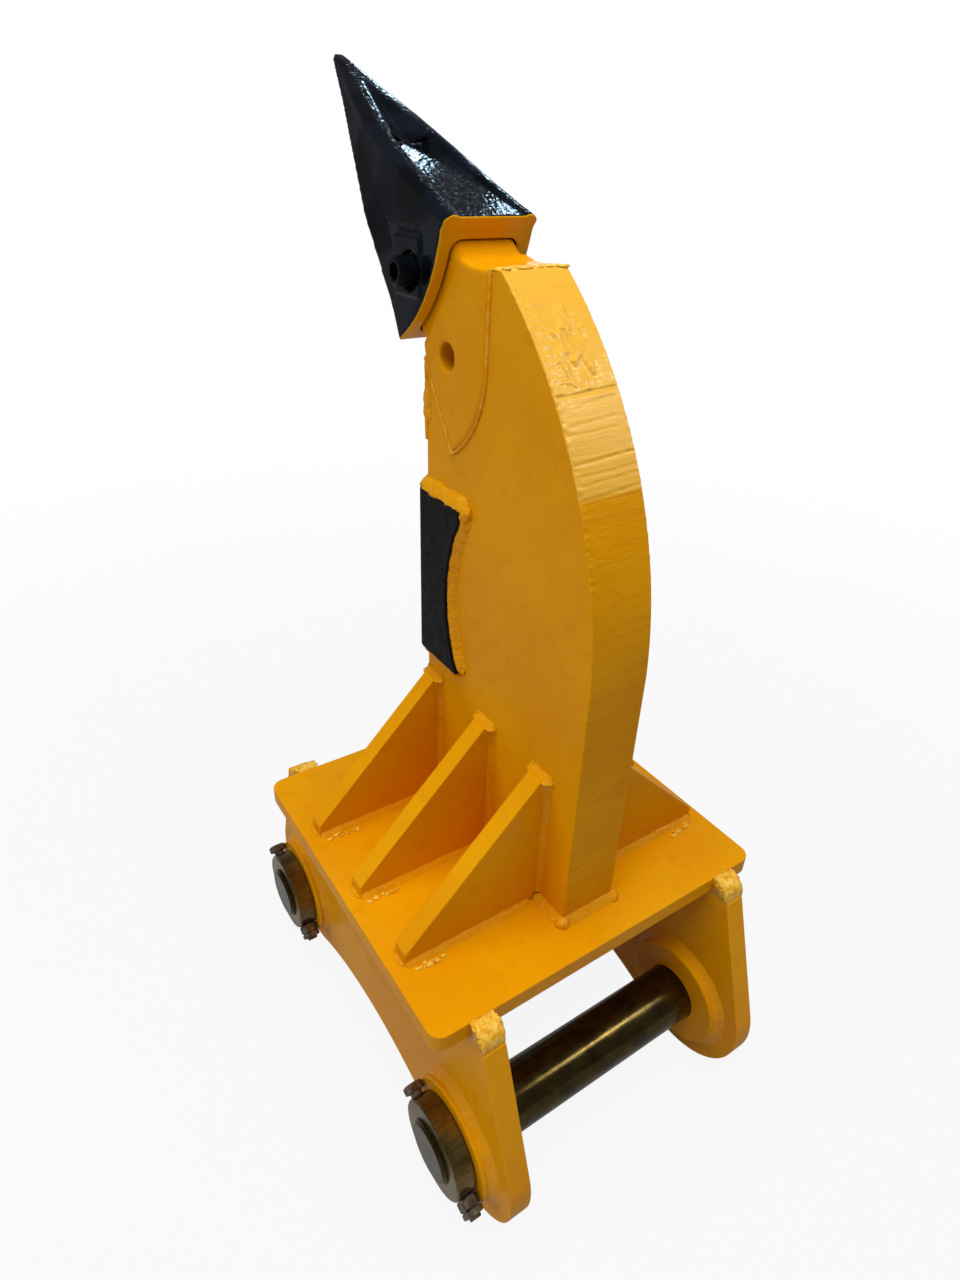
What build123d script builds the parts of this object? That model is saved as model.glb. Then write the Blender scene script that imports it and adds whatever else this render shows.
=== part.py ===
"""Excavator ripper shank: a bolted-on tooth on a curved shank, welded to a pin-on bracket.

Millimetres. X runs along the two mounting pins, +Y towards the side the tooth points to,
+Z from the ears up to the tooth. The origin lies midway between the two pin axes.
"""
from build123d import *
import math
import os

os.makedirs("parts", exist_ok=True)

# Mounting pins and the gap that takes the arm and the link
pin_diameter = 80.0
pin_spacing = 480.0
arm_gap = 326.0
pin_clearance = 0.1
pin_end_stand_out = 6.0
pin_chamfer = 4.0

# Ear plates and the rings that thicken them round the pins
ear_thickness = 30.0
ear_radius = 110.0
ear_top_overreach = 41.0
arch_rise = 53.0
ear_weld = 10.0
ear_weld_end_gap = 4.0
end_lump_reach = 22.0
end_lump_width = 44.0
ring_thickness = 16.0
ring_radius = 78.0
ring_chamfer = 2.0
ring_weld = 13.0

# Base plate
plate_drop = 221.0
plate_thickness = 25.0
plate_side_overhang = 46.0
plate_front_overhang = 12.0
plate_back_inset = 6.0
plate_corner_radius = 19.0

# Shank
shank_thickness = 80.0
shank_width = 328.0
shank_setback = 51.0
shank_height = 724.0
shank_straight_back = 334.0
shank_top_length = 19.0
shank_top_setback = 141.0
shank_foot_weld = 12.0

# Gussets
gusset_thickness = 25.0
gusset_height = 200.0
gusset_top_width = 12.0
gusset_toe_height = 18.0
gusset_toe_inset = 20.0
gusset_back_inset = 50.0
gusset_front_inset = 9.5
gusset_middle_shift = -4.0
gusset_weld = 9.0
gusset_cope = 16.0

# Nose adapter and the tooth's own axis
nose_angle = 37.7
nose_setback = 15.0
nose_drop = 29.0
nose_height = 120.0
nose_root_depth = 22.0
nose_knee = 30.0
nose_knee_width = 76.0
nose_knee_height = 88.0
nose_length = 145.0
nose_tip_width = 50.0
nose_tip_height = 28.0
nose_corner_radius = 11.0
cheek_relief = 3.0
crown_length = 33.0
tail_straight_drop = 90.0
tail_straight_lean = 2.0
tail_bend_drop = 149.0
tail_bend_lean = 16.0
tail_tip_drop = 198.0
tail_tip_setback = 59.0
tail_front_drop = 105.0
tail_fit = 0.3
side_hole_diameter = 30.0
side_hole_setback = 47.0
side_hole_drop = 96.0

# Welds between the adapter and the shank
seam_weld = 7.0
seam_weld_height = 2.5
front_weld_height = 90.0
front_weld_bulge = 13.0
front_weld_half = 36.0
top_weld_height = 8.0
top_weld_half = 38.0

# Tooth point
rim_wall = 17.0
rim_ridge_wall = 28.5
rim_ridge_rise = 9.0
rim_sole_wall = 19.0
rim_bulge = 15.0
rim_shoulder = 18.0
tooth_length = 365.0
pocket_rim_depth = 2.0
pocket_rim_half = 42.0
pocket_end_half = 19.0
pocket_end_lift = 28.0
pocket_overreach = 30.0
pocket_run_out = 8.5
pocket_flank_rise = 40.0
pocket_flank_run = 27.0
groove_half_width = 27.0
groove_depth = 13.0
groove_end_share = 0.7
groove_end_lift = 11.0
groove_end_half_width = 4.0
groove_end_depth = 3.0
nose_fit = 1.5
nose_end_fit = 0.3
pad_width = 57.0
pad_height = 58.0
pad_relief = 2.5
pad_corner_radius = 4.0
pad_shift_forward = 8.0
pad_shift_up = 4.0

# Tooth sections over the nose: walls beside, above and below it, and the flank's details
rim_section = dict(
    wall=rim_wall,
    ridge_wall=rim_ridge_wall,
    sole_wall=rim_sole_wall,
    crest_inset=7.0,
    bevel=6.0,
    crease=-26.0,
    flare=0.5,
)
knee_section = dict(
    wall=17.5, ridge_wall=34.5, sole_wall=20.0, crest_inset=7.0, bevel=6.0, crease=-18.0, flare=1.0
)
middle_section = dict(
    wall=20.0, ridge_wall=33.5, sole_wall=21.0, crest_inset=7.5, bevel=6.0, crease=-9.0, flare=2.5
)
nose_tip_section = dict(
    wall=22.5, ridge_wall=34.5, sole_wall=25.0, crest_inset=8.5, bevel=8.0, crease=-2.0, flare=3.0
)

# Tooth sections along the blade: shares of its length, half widths and heights off the tooth's axis
shoulder_share = 0.32
blade_middle_share = 0.66
blade_end_share = 0.9
shoulder_section = dict(side=38.0, crest_inset=8.0, ridge=31.5, bevel=9.5, crease=12.0, flare=2.5, sole=-19.5)
blade_middle_section = dict(side=22.5, crest_inset=7.0, ridge=13.5, bevel=7.0, crease=0.0, flare=2.5, sole=-10.5)
blade_end_section = dict(side=10.0, crest_inset=4.0, ridge=2.0, bevel=4.0, crease=-5.0, flare=2.0, sole=-12.0)
tip_section = dict(side=6.0, crest_inset=1.0, ridge=-5.0, bevel=1.0, crease=-8.0, flare=0.5, sole=-12.0)

# Tooth pin, which stands out on the left, and its retaining ring
tooth_pin_setback = 22.5
tooth_pin_diameter = 30.0
tooth_pin_stand_out = 18.5
tooth_pin_right_inset = 7.5
tooth_pin_chamfer = 2.0
tooth_pin_fit = 0.3
pin_recess_diameter = 40.0
pin_recess_depth = 9.0
socket_across_flats = 17.0
socket_depth = 9.0
retainer_diameter = 44.0
retainer_width = 10.0

# Shank guard
guard_gap_below = 39.0
guard_gap_above = 63.0
guard_flange = 12.0
guard_reach = 90.0
guard_waist = 28.0
guard_lip = 15.0
guard_corner = 4.0
guard_side_radius = 10.0
guard_nose_length = 48.0
guard_nose_radius = 14.0
guard_fit = 0.3
guard_weld_width = 11.0
guard_weld_height = 7.0

# Collars with their bolts
collar_diameter = 125.0
collar_thickness = 27.0
collar_play = 0.5
collar_chamfer = 2.0
bolt_diameter = 16.0
bolt_hole_diameter = 17.0
bolt_across_flats = 24.0
bolt_head_height = 10.0
bolt_play = 5.5
bolt_stand_out = 4.0
nut_height = 13.0
lock_nut_height = 8.0
nut_seat_gap = 0.2
thread_clearance = 0.05
link_bolt_angle = 19.5
stick_bolt_angle = 35.0

# Places worked out from the sizes above
pin_radius = pin_diameter / 2
bore_radius = pin_radius + pin_clearance
pin_y = pin_spacing / 2
ear_inner_x = arm_gap / 2 + ring_thickness
ear_outer_x = ear_inner_x + ear_thickness
ear_middle_x = (ear_inner_x + ear_outer_x) / 2
collar_inner_x = ear_outer_x + ring_thickness + collar_play
collar_middle_x = collar_inner_x + collar_thickness / 2
collar_outer_x = collar_inner_x + collar_thickness
collar_radius = collar_diameter / 2

plate_bottom = plate_drop
plate_top = plate_bottom + plate_thickness
plate_half_width = ear_outer_x + plate_side_overhang
plate_front = -pin_y - plate_front_overhang
plate_back = pin_y - plate_back_inset
plate_depth = plate_back - plate_front
plate_middle_y = (plate_front + plate_back) / 2

shank_half = shank_thickness / 2
shank_heel_y = plate_front + shank_setback
shank_front_y = shank_heel_y + shank_width
shank_middle_y = (shank_heel_y + shank_front_y) / 2
shank_top = plate_top + shank_height
shank_bend_z = plate_top + shank_straight_back
shank_top_y = shank_front_y - shank_top_setback

nose_y = shank_front_y - nose_setback
nose_z = shank_top - nose_drop
nose_turn = math.radians(nose_angle)
adapter_half = shank_half + cheek_relief


def along_nose(reach, lift):
    """Point in the YZ plane at a reach along the tooth's axis and a lift towards its ridges."""
    return (
        nose_y + reach * math.cos(nose_turn) - lift * math.sin(nose_turn),
        nose_z + reach * math.sin(nose_turn) + lift * math.cos(nose_turn),
    )


def nose_plane(reach):
    """Plane square to the tooth's axis, its own x along X and its own y towards the ridges."""
    y, z = along_nose(reach, 0)
    return Plane(origin=(0, y, z), x_dir=(-1, 0, 0), z_dir=(0, math.cos(nose_turn), math.sin(nose_turn)))


def save(builder, label):
    builder.part.label = label
    export_step(builder.part, f"parts/{label}.step")


# Base plate, flame-cut with rounded corners
with BuildPart() as base_plate:
    with BuildSketch(Plane.XY.offset(plate_bottom)):
        with Locations((0, plate_middle_y)):
            Rectangle(2 * plate_half_width, plate_depth)
        fillet(vertices(), plate_corner_radius)
    extrude(amount=plate_thickness)
save(base_plate, "base_plate")


# Ear plates: two rounded ears joined by a shallow arch under a straight top edge
ear_top_y = pin_y + ear_top_overreach
arch_z = arch_rise - ear_radius
arch_radius = (pin_y**2 + arch_z**2 - ear_radius**2) / (2 * (ear_radius + arch_z))
arch_centre_z = arch_z - arch_radius
arch_meet_angle = math.degrees(math.atan2(arch_centre_z, -pin_y))
ear_lean = math.degrees(math.atan2(plate_bottom, ear_top_overreach))
ear_side_angle = ear_lean - math.degrees(math.acos(ear_radius / math.hypot(ear_top_overreach, plate_bottom)))
ear_low_angle = (ear_side_angle + arch_meet_angle) / 2


def on_ear(angle):
    """Point on the rounded end of an ear, at an angle round the +Y pin from +Y towards +Z."""
    turn = math.radians(angle)
    return (pin_y + ear_radius * math.cos(turn), ear_radius * math.sin(turn))


def ear_plate(middle_x):
    with BuildPart() as plate:
        with BuildSketch(Plane.YZ.offset(middle_x)):
            with BuildLine():
                Line((0, plate_bottom), (ear_top_y, plate_bottom))
                Line((ear_top_y, plate_bottom), on_ear(ear_side_angle))
                ThreePointArc(on_ear(ear_side_angle), on_ear(ear_low_angle), on_ear(arch_meet_angle))
                RadiusArc(on_ear(arch_meet_angle), (0, arch_z), -arch_radius)
                Line((0, arch_z), (0, plate_bottom))
            make_face()
            mirror(about=Plane.YZ)
            with Locations((pin_y, 0), (-pin_y, 0)):
                Circle(bore_radius, mode=Mode.SUBTRACT)
        extrude(amount=ear_thickness / 2, both=True)
    return plate


save(ear_plate(-ear_middle_x), "ear_plate_left")
save(ear_plate(ear_middle_x), "ear_plate_right")


# Rings on both faces of each ear, with a fillet weld round each
def ear_ring(face_x, outward, middle_y):
    with BuildPart() as ring:
        with BuildSketch(Plane.YZ.offset(face_x)):
            with Locations((middle_y, 0)):
                Circle(ring_radius)
                Circle(bore_radius, mode=Mode.SUBTRACT)
        extrude(amount=outward * ring_thickness)
        rims = ring.edges().filter_by(GeomType.CIRCLE).sort_by(Axis.X)
        outer_rims = rims[-2:] if outward > 0 else rims[:2]
        chamfer(outer_rims.sort_by(SortBy.RADIUS)[-1], ring_chamfer)
    return ring


ring_seats = []
for side_name, side in (("left", -1), ("right", 1)):
    for face_name, face_x, outward in (("outer", ear_outer_x, side), ("inner", ear_inner_x, -side)):
        for pin_name, middle_y in (("stick", pin_y), ("link", -pin_y)):
            save(ear_ring(side * face_x, outward, middle_y), f"{pin_name}_ring_{side_name}_{face_name}")
            ring_seats.append((side * face_x, outward, middle_y))

with BuildPart() as ring_welds:
    for seat_x, outward, middle_y in ring_seats:
        with BuildSketch(Plane(origin=(seat_x, middle_y, 0), x_dir=(1, 0, 0), z_dir=(0, -1, 0))):
            with BuildLine():
                Polyline(
                    (0, ring_radius),
                    (outward * ring_weld, ring_radius),
                    (0, ring_radius + ring_weld),
                    close=True,
                )
            make_face()
        revolve(axis=Axis((seat_x, middle_y, 0), (1, 0, 0)))
save(ring_welds, "ring_welds")


# Fillet welds under the plate along both sides of each ear, and the lumps at its four ends
with BuildPart() as ear_welds:
    with BuildSketch(Plane.XY.offset(plate_bottom)):
        with Locations((ear_middle_x, plate_middle_y), (-ear_middle_x, plate_middle_y)):
            Rectangle(ear_thickness + 2 * ear_weld, plate_depth - 2 * ear_weld_end_gap)
    extrude(amount=-ear_weld, taper=45)
    with BuildSketch(Plane.XY.offset(plate_bottom)):
        with Locations((ear_middle_x, plate_middle_y), (-ear_middle_x, plate_middle_y)):
            Rectangle(ear_thickness, plate_depth)
    extrude(amount=-ear_weld, mode=Mode.SUBTRACT)
    for end_y, outward in ((plate_front, -1), (plate_back, 1)):
        with BuildSketch(Plane.YZ.offset(ear_middle_x), Plane.YZ.offset(-ear_middle_x)):
            with BuildLine():
                Line((end_y, plate_top - ear_weld_end_gap), (end_y, plate_bottom))
                Line((end_y, plate_bottom), (end_y + outward * end_lump_reach, plate_bottom))
                TangentArc(
                    (end_y + outward * end_lump_reach, plate_bottom),
                    (end_y, plate_top - ear_weld_end_gap),
                    tangent=(0, 1),
                )
            make_face()
        extrude(amount=end_lump_width / 2, both=True)
save(ear_welds, "ear_welds")


# Nose adapter's side outline, shared by the adapter, the shank's notch and the seam weld
tail_top = (shank_top_y + shank_top_length, shank_top)
tail_straight_end = (tail_top[0] + tail_straight_lean, shank_top - tail_straight_drop)
tail_bend = (tail_top[0] + tail_bend_lean, shank_top - tail_bend_drop)
tail_tip = (shank_front_y - tail_tip_setback, shank_top - tail_tip_drop)
tail_front = (shank_front_y, shank_top - tail_front_drop)
root_bottom = along_nose(-nose_root_depth, -nose_height / 2)
root_top = along_nose(-nose_root_depth, nose_height / 2)
crown_front = (tail_top[0] + crown_length, shank_top)


def adapter_outline():
    with BuildLine() as outline:
        Line(crown_front, tail_top)
        Line(tail_top, tail_straight_end)
        ThreePointArc(tail_straight_end, tail_bend, tail_tip)
        Polyline(tail_tip, tail_front, root_bottom, root_top, crown_front)
    return outline.edges()


def shank_outline():
    heel = (shank_heel_y, plate_top)
    bend = (shank_heel_y, shank_bend_z)
    crown = (shank_top_y, shank_top)
    with BuildLine() as outline:
        Line(heel, bend)
        TangentArc(bend, crown, tangent=(0, 1))
        Polyline(crown, tail_top, tail_front, (shank_front_y, plate_top), heel)
    return outline.edges()


# Shank: one thick flame-cut plate, straight at the foot and curved forwards at the top
with BuildPart() as shank:
    with BuildSketch(Plane.YZ):
        make_face(shank_outline())
    extrude(amount=shank_half, both=True)
    with BuildSketch(Plane.YZ):
        make_face(adapter_outline())
        offset(amount=tail_fit, kind=Kind.INTERSECTION)
    extrude(amount=shank_half, both=True, mode=Mode.SUBTRACT)
save(shank, "shank")


# Fillet weld round the shank's foot
with BuildPart() as shank_weld:
    with BuildSketch(Plane.XY.offset(plate_top)):
        with Locations((0, shank_middle_y)):
            Rectangle(shank_thickness + 2 * shank_foot_weld, shank_width + 2 * shank_foot_weld)
    extrude(amount=shank_foot_weld, taper=45)
    with BuildSketch(Plane.XY.offset(plate_top)):
        with Locations((0, shank_middle_y)):
            Rectangle(shank_thickness, shank_width)
    extrude(amount=shank_foot_weld, mode=Mode.SUBTRACT)
save(shank_weld, "shank_weld")


# Nose adapter: a casting with two raised cheeks, a pointed tail and a nose that narrows twice
def between(start, end, share):
    return start + share * (end - start)


def nose_size(reach):
    """Width and height of the nose at a reach from the tooth's rim."""
    if reach <= 0:
        return shank_thickness, nose_height
    if reach <= nose_knee:
        share = reach / nose_knee
        return between(shank_thickness, nose_knee_width, share), between(nose_height, nose_knee_height, share)
    share = (reach - nose_knee) / (nose_length - nose_knee)
    return between(nose_knee_width, nose_tip_width, share), between(nose_knee_height, nose_tip_height, share)


def nose_section(reach, growth, width, height):
    with BuildSketch(nose_plane(reach)) as section:
        RectangleRounded(width + 2 * growth, height + 2 * growth, nose_corner_radius + growth)
    return section.sketch


def nose_sections(root_depth, growth, tip_gap):
    """Sections of the nose, grown on every side, from a depth behind the rim to the tip."""
    return [
        nose_section(-root_depth, growth, shank_thickness, nose_height),
        nose_section(0, growth, shank_thickness, nose_height),
        nose_section(nose_knee, growth, nose_knee_width, nose_knee_height),
        nose_section(nose_length + tip_gap, growth, nose_tip_width, nose_tip_height),
    ]


tooth_pin_y, tooth_pin_z = along_nose(tooth_pin_setback, 0)
retainer_face_x = nose_size(tooth_pin_setback + retainer_diameter / 2)[0] / 2
side_hole_y = shank_front_y - side_hole_setback
side_hole_z = shank_top - side_hole_drop

with BuildPart() as nose_adapter:
    with BuildSketch(Plane.YZ):
        make_face(adapter_outline())
    extrude(amount=adapter_half, both=True)
    chamfer(nose_adapter.faces().filter_by(Axis.X).edges(), cheek_relief)
    loft(nose_sections(nose_root_depth, 0, 0), ruled=True)
    with BuildSketch(Plane.YZ):
        with Locations((side_hole_y, side_hole_z)):
            Circle(side_hole_diameter / 2)
        with Locations((tooth_pin_y, tooth_pin_z)):
            Circle(tooth_pin_diameter / 2 + tooth_pin_fit)
    extrude(amount=shank_thickness, both=True, mode=Mode.SUBTRACT)
    with BuildSketch(Plane.YZ.offset(-retainer_face_x + retainer_width)):
        with Locations((tooth_pin_y, tooth_pin_z)):
            Circle(retainer_diameter / 2)
    extrude(amount=-2 * retainer_width, mode=Mode.SUBTRACT)
save(nose_adapter, "nose_adapter")


# Tooth point: a forged cap with two ridges that meet near the tip and a pocket between them
def tooth_section(reach, side, crest, ridge, bevel, crease, sole_half, sole):
    """Eight-sided section square to the tooth's axis, its flanks creased and flared at the sole."""
    with BuildSketch(nose_plane(reach)) as section:
        with BuildLine():
            Polyline(
                (crest, ridge),
                (side, ridge - bevel),
                (side, crease),
                (sole_half, sole),
                (-sole_half, sole),
                (-side, crease),
                (-side, ridge - bevel),
                (-crest, ridge),
                close=True,
            )
        make_face()
    return section.sketch


def cap_section(reach, rise, wall, ridge_wall, sole_wall, crest_inset, bevel, crease, flare):
    """Section of the cap that goes over the nose, given by its walls beside, above and below."""
    width, height = nose_size(reach)
    side = width / 2 + wall
    ridge = height / 2 + ridge_wall + rise
    sole = -height / 2 - sole_wall
    return tooth_section(reach, side, side - crest_inset, ridge, bevel, crease, side + flare, sole)


def blade_section(share, side, crest_inset, ridge, bevel, crease, flare, sole):
    """Section of the solid blade, at a share of the way from the nose's tip to the tooth's."""
    reach = between(nose_length, tooth_length, share)
    return tooth_section(reach, side, side - crest_inset, ridge, bevel, crease, side + flare, sole)


def pocket_section(reach, floor, floor_half):
    """Flat-bottomed slice of the pocket, its flanks rising well past the ridges."""
    top_half = floor_half + pocket_flank_run
    top = floor + pocket_flank_rise
    with BuildSketch(nose_plane(reach)) as section:
        with BuildLine():
            Polyline((-floor_half, floor), (floor_half, floor), (top_half, top), (-top_half, top), close=True)
        make_face()
    return section.sketch


def groove_section(reach, valley, half_width, depth):
    """Slice of the valley between the ridges, a V drawn to twice its depth."""
    with BuildSketch(nose_plane(reach)) as section:
        with BuildLine():
            Polyline(
                (0, valley),
                (2 * half_width, valley + 2 * depth),
                (-2 * half_width, valley + 2 * depth),
                close=True,
            )
        make_face()
    return section.sketch


cap_half = shank_half + rim_wall
cap_depth = rim_bulge + nose_corner_radius
ridge_lift = nose_height / 2 + rim_ridge_wall
sole_lift = nose_height / 2 + rim_sole_wall
pocket_floor = ridge_lift - pocket_rim_depth
pocket_reach = nose_length + pocket_overreach
groove_reach = between(nose_length, tooth_length, groove_end_share)
pad_middle_y = tooth_pin_y + pad_shift_forward
pad_middle_z = tooth_pin_z + pad_shift_up
pad_face_x = cap_half + pad_relief

with BuildPart() as tooth_point:
    loft(
        [
            cap_section(-cap_depth, rim_ridge_rise, **rim_section),
            cap_section(0, 0, **rim_section),
            cap_section(nose_knee, 0, **knee_section),
            cap_section((nose_knee + nose_length) / 2, 0, **middle_section),
            cap_section(nose_length, 0, **nose_tip_section),
            blade_section(shoulder_share, **shoulder_section),
            blade_section(blade_middle_share, **blade_middle_section),
            blade_section(blade_end_share, **blade_end_section),
            blade_section(1, **tip_section),
        ],
        ruled=True,
    )
    loft(
        [
            pocket_section(-cap_depth, pocket_floor + pocket_run_out, pocket_rim_half),
            pocket_section(0, pocket_floor, pocket_rim_half),
            pocket_section(pocket_reach, pocket_end_lift, pocket_end_half),
        ],
        ruled=True,
        mode=Mode.SUBTRACT,
    )
    loft(
        [
            groove_section(pocket_reach, pocket_end_lift, groove_half_width, groove_depth),
            groove_section(groove_reach, groove_end_lift, groove_end_half_width, groove_end_depth),
        ],
        ruled=True,
        mode=Mode.SUBTRACT,
    )
    with BuildSketch(Plane.YZ):
        with Locations((pad_middle_y, pad_middle_z)):
            RectangleRounded(pad_width, pad_height, pad_corner_radius)
    extrude(amount=pad_face_x, both=True)
    with BuildSketch(Plane.YZ):
        with BuildLine():
            Line(along_nose(0, 2 * ridge_lift), along_nose(0, ridge_lift - rim_shoulder))
            ThreePointArc(
                along_nose(0, ridge_lift - rim_shoulder),
                along_nose(-rim_bulge, 0),
                along_nose(0, -sole_lift),
            )
            Polyline(
                along_nose(0, -sole_lift),
                along_nose(0, -2 * sole_lift),
                along_nose(-2 * cap_depth, -2 * sole_lift),
                along_nose(-2 * cap_depth, 2 * ridge_lift),
                along_nose(0, 2 * ridge_lift),
            )
        make_face()
    extrude(amount=2 * cap_half, both=True, mode=Mode.SUBTRACT)
    loft(nose_sections(2 * cap_depth, nose_fit, nose_end_fit), ruled=True, mode=Mode.SUBTRACT)
    with BuildSketch(Plane.YZ):
        with Locations((tooth_pin_y, tooth_pin_z)):
            Circle(tooth_pin_diameter / 2 + tooth_pin_fit)
    extrude(amount=2 * cap_half, both=True, mode=Mode.SUBTRACT)
    for end in (-1, 1):
        with BuildSketch(Plane.YZ.offset(end * pad_face_x)):
            with Locations((tooth_pin_y, tooth_pin_z)):
                Circle(pin_recess_diameter / 2)
        extrude(amount=-end * pin_recess_depth, mode=Mode.SUBTRACT)
save(tooth_point, "tooth_point")


# Tooth pin with a hexagonal socket in each end, and the ring that keeps it from turning out
tooth_pin_left_x = -pad_face_x - tooth_pin_stand_out
tooth_pin_right_x = pad_face_x - tooth_pin_right_inset

with BuildPart() as tooth_pin:
    with BuildSketch(Plane.YZ.offset(tooth_pin_left_x)):
        with Locations((tooth_pin_y, tooth_pin_z)):
            Circle(tooth_pin_diameter / 2)
    extrude(amount=tooth_pin_right_x - tooth_pin_left_x)
    chamfer(tooth_pin.edges().filter_by(GeomType.CIRCLE), tooth_pin_chamfer)
    for end_x, inward in ((tooth_pin_left_x, 1), (tooth_pin_right_x, -1)):
        with BuildSketch(Plane.YZ.offset(end_x)):
            with Locations((tooth_pin_y, tooth_pin_z)):
                RegularPolygon(socket_across_flats / 2, 6, major_radius=False, rotation=90)
        extrude(amount=inward * socket_depth, mode=Mode.SUBTRACT)
save(tooth_pin, "tooth_pin")

with BuildPart() as tooth_pin_retainer:
    with BuildSketch(Plane.YZ.offset(-retainer_face_x + tooth_pin_fit)):
        with Locations((tooth_pin_y, tooth_pin_z)):
            Circle(retainer_diameter / 2 - tooth_pin_fit)
            Circle(tooth_pin_diameter / 2 + tooth_pin_fit, mode=Mode.SUBTRACT)
    extrude(amount=retainer_width - 2 * tooth_pin_fit)
save(tooth_pin_retainer, "tooth_pin_retainer")


# Welds that join the adapter to the shank: both side seams, the front edge and the top step
with BuildPart() as adapter_weld:
    for side in (-1, 1):
        with BuildSketch(Plane.YZ.offset(side * shank_half)):
            make_face(adapter_outline())
            offset(amount=seam_weld)
            make_face(shank_outline(), mode=Mode.INTERSECT)
            make_face(adapter_outline(), mode=Mode.SUBTRACT)
        extrude(amount=side * seam_weld_height)
    front_low = (shank_front_y, tail_front[1] - front_weld_height)
    front_middle = (shank_front_y + front_weld_bulge, tail_front[1] - front_weld_height / 2)
    with BuildSketch(Plane.YZ):
        with BuildLine():
            ThreePointArc(front_low, front_middle, tail_front)
            Line(tail_front, front_low)
        make_face()
    extrude(amount=front_weld_half, both=True)
    with BuildSketch(Plane.YZ):
        with BuildLine():
            ThreePointArc(
                (shank_top_y, shank_top),
                ((shank_top_y + tail_top[0]) / 2, shank_top + top_weld_height),
                tail_top,
            )
            Line(tail_top, (shank_top_y, shank_top))
        make_face()
    extrude(amount=top_weld_half, both=True)
save(adapter_weld, "adapter_weld")


# Shank guard: a cast cap that straddles the front edge, pointed in front and waisted behind
guard_bottom = plate_top + gusset_height + guard_gap_below
guard_top = shank_top - tail_front_drop - front_weld_height - guard_gap_above
guard_height = guard_top - guard_bottom
guard_middle_z = (guard_bottom + guard_top) / 2
guard_half = shank_half + guard_flange
guard_rear_y = shank_front_y - guard_reach
guard_tip_y = shank_front_y + guard_nose_length


def guard_outline(front_y):
    """Side outline of the guard, waisted behind, from its rear edge to a given front."""
    with BuildLine() as outline:
        ThreePointArc(
            (guard_rear_y, guard_bottom),
            (guard_rear_y + guard_waist, guard_middle_z),
            (guard_rear_y, guard_top - guard_lip),
        )
        Polyline(
            (guard_rear_y, guard_top - guard_lip),
            (guard_rear_y, guard_top - guard_corner),
            (guard_rear_y + guard_corner, guard_top),
            (front_y, guard_top),
            (front_y, guard_bottom),
            (guard_rear_y, guard_bottom),
        )
    return outline.edges()


with BuildPart() as shank_guard:
    with BuildSketch(Plane.XY.offset(guard_bottom)):
        with BuildLine():
            Polyline(
                (guard_half, guard_rear_y),
                (guard_half, shank_front_y),
                (0, guard_tip_y),
                (-guard_half, shank_front_y),
                (-guard_half, guard_rear_y),
                close=True,
            )
        make_face()
        fillet(vertices().group_by(Axis.Y)[-1], guard_nose_radius)
        fillet(vertices().group_by(Axis.Y)[1], guard_side_radius)
        with Locations((0, shank_front_y + guard_fit)):
            Rectangle(
                2 * (shank_half + guard_fit),
                2 * guard_reach,
                align=(Align.CENTER, Align.MAX),
                mode=Mode.SUBTRACT,
            )
    extrude(amount=guard_height)
    with BuildSketch(Plane.YZ):
        make_face(guard_outline(guard_tip_y))
    extrude(amount=guard_half, both=True, mode=Mode.INTERSECT)
save(shank_guard, "shank_guard")

# Weld bead round the guard on both faces of the shank
with BuildPart() as guard_weld:
    for side in (-1, 1):
        with BuildSketch(Plane.YZ.offset(side * shank_half)):
            make_face(guard_outline(shank_front_y))
            offset(amount=guard_weld_width)
            make_face(guard_outline(guard_tip_y), mode=Mode.SUBTRACT)
            make_face(shank_outline(), mode=Mode.INTERSECT)
        extrude(amount=side * guard_weld_height)
save(guard_weld, "guard_weld")


# Gussets: three on each side of the shank, coped at the foot to clear the shank's weld
gusset_toe_x = plate_half_width - gusset_toe_inset
gusset_rear_y = shank_heel_y + gusset_back_inset + gusset_thickness / 2
gusset_front_y = shank_front_y - gusset_front_inset - gusset_thickness / 2
gusset_rows = {
    "rear": gusset_rear_y,
    "middle": (gusset_rear_y + gusset_front_y) / 2 + gusset_middle_shift,
    "front": gusset_front_y,
}


def gusset(side, middle_y):
    with BuildPart() as plate:
        with BuildSketch(Plane.XZ.offset(-middle_y)):
            with BuildLine():
                Polyline(
                    (side * shank_half, plate_top + gusset_cope),
                    (side * shank_half, plate_top + gusset_height),
                    (side * (shank_half + gusset_top_width), plate_top + gusset_height),
                    (side * gusset_toe_x, plate_top + gusset_toe_height),
                    (side * gusset_toe_x, plate_top),
                    (side * (shank_half + gusset_cope), plate_top),
                    close=True,
                )
            make_face()
        extrude(amount=gusset_thickness / 2, both=True)
    return plate


def gusset_welds(side):
    """Fillet welds along the foot and the shank side of the three gussets on one side."""
    gussets = [gusset(side, middle_y) for middle_y in gusset_rows.values()]
    weld_y = gusset_thickness + 2 * gusset_weld
    foot_length = gusset_toe_x + gusset_weld - shank_half - gusset_cope
    foot_middle_x = shank_half + gusset_cope + foot_length / 2
    side_height = gusset_height + gusset_weld - gusset_cope
    side_middle_z = plate_top + gusset_cope + side_height / 2
    with BuildPart() as welds:
        with BuildSketch(Plane.XY.offset(plate_top)):
            with Locations(*[(side * foot_middle_x, middle_y) for middle_y in gusset_rows.values()]):
                Rectangle(foot_length, weld_y)
        extrude(amount=gusset_weld, taper=45)
        with BuildSketch(Plane.YZ.offset(side * shank_half)):
            with Locations(*[(middle_y, side_middle_z) for middle_y in gusset_rows.values()]):
                Rectangle(weld_y, side_height)
        extrude(amount=side * gusset_weld, taper=45)
        for plate in gussets:
            add(plate.part, mode=Mode.SUBTRACT)
    return welds


for side_name, side in (("left", -1), ("right", 1)):
    for row_name, middle_y in gusset_rows.items():
        save(gusset(side, middle_y), f"gusset_{side_name}_{row_name}")
    save(gusset_welds(side), f"gusset_welds_{side_name}")


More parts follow.
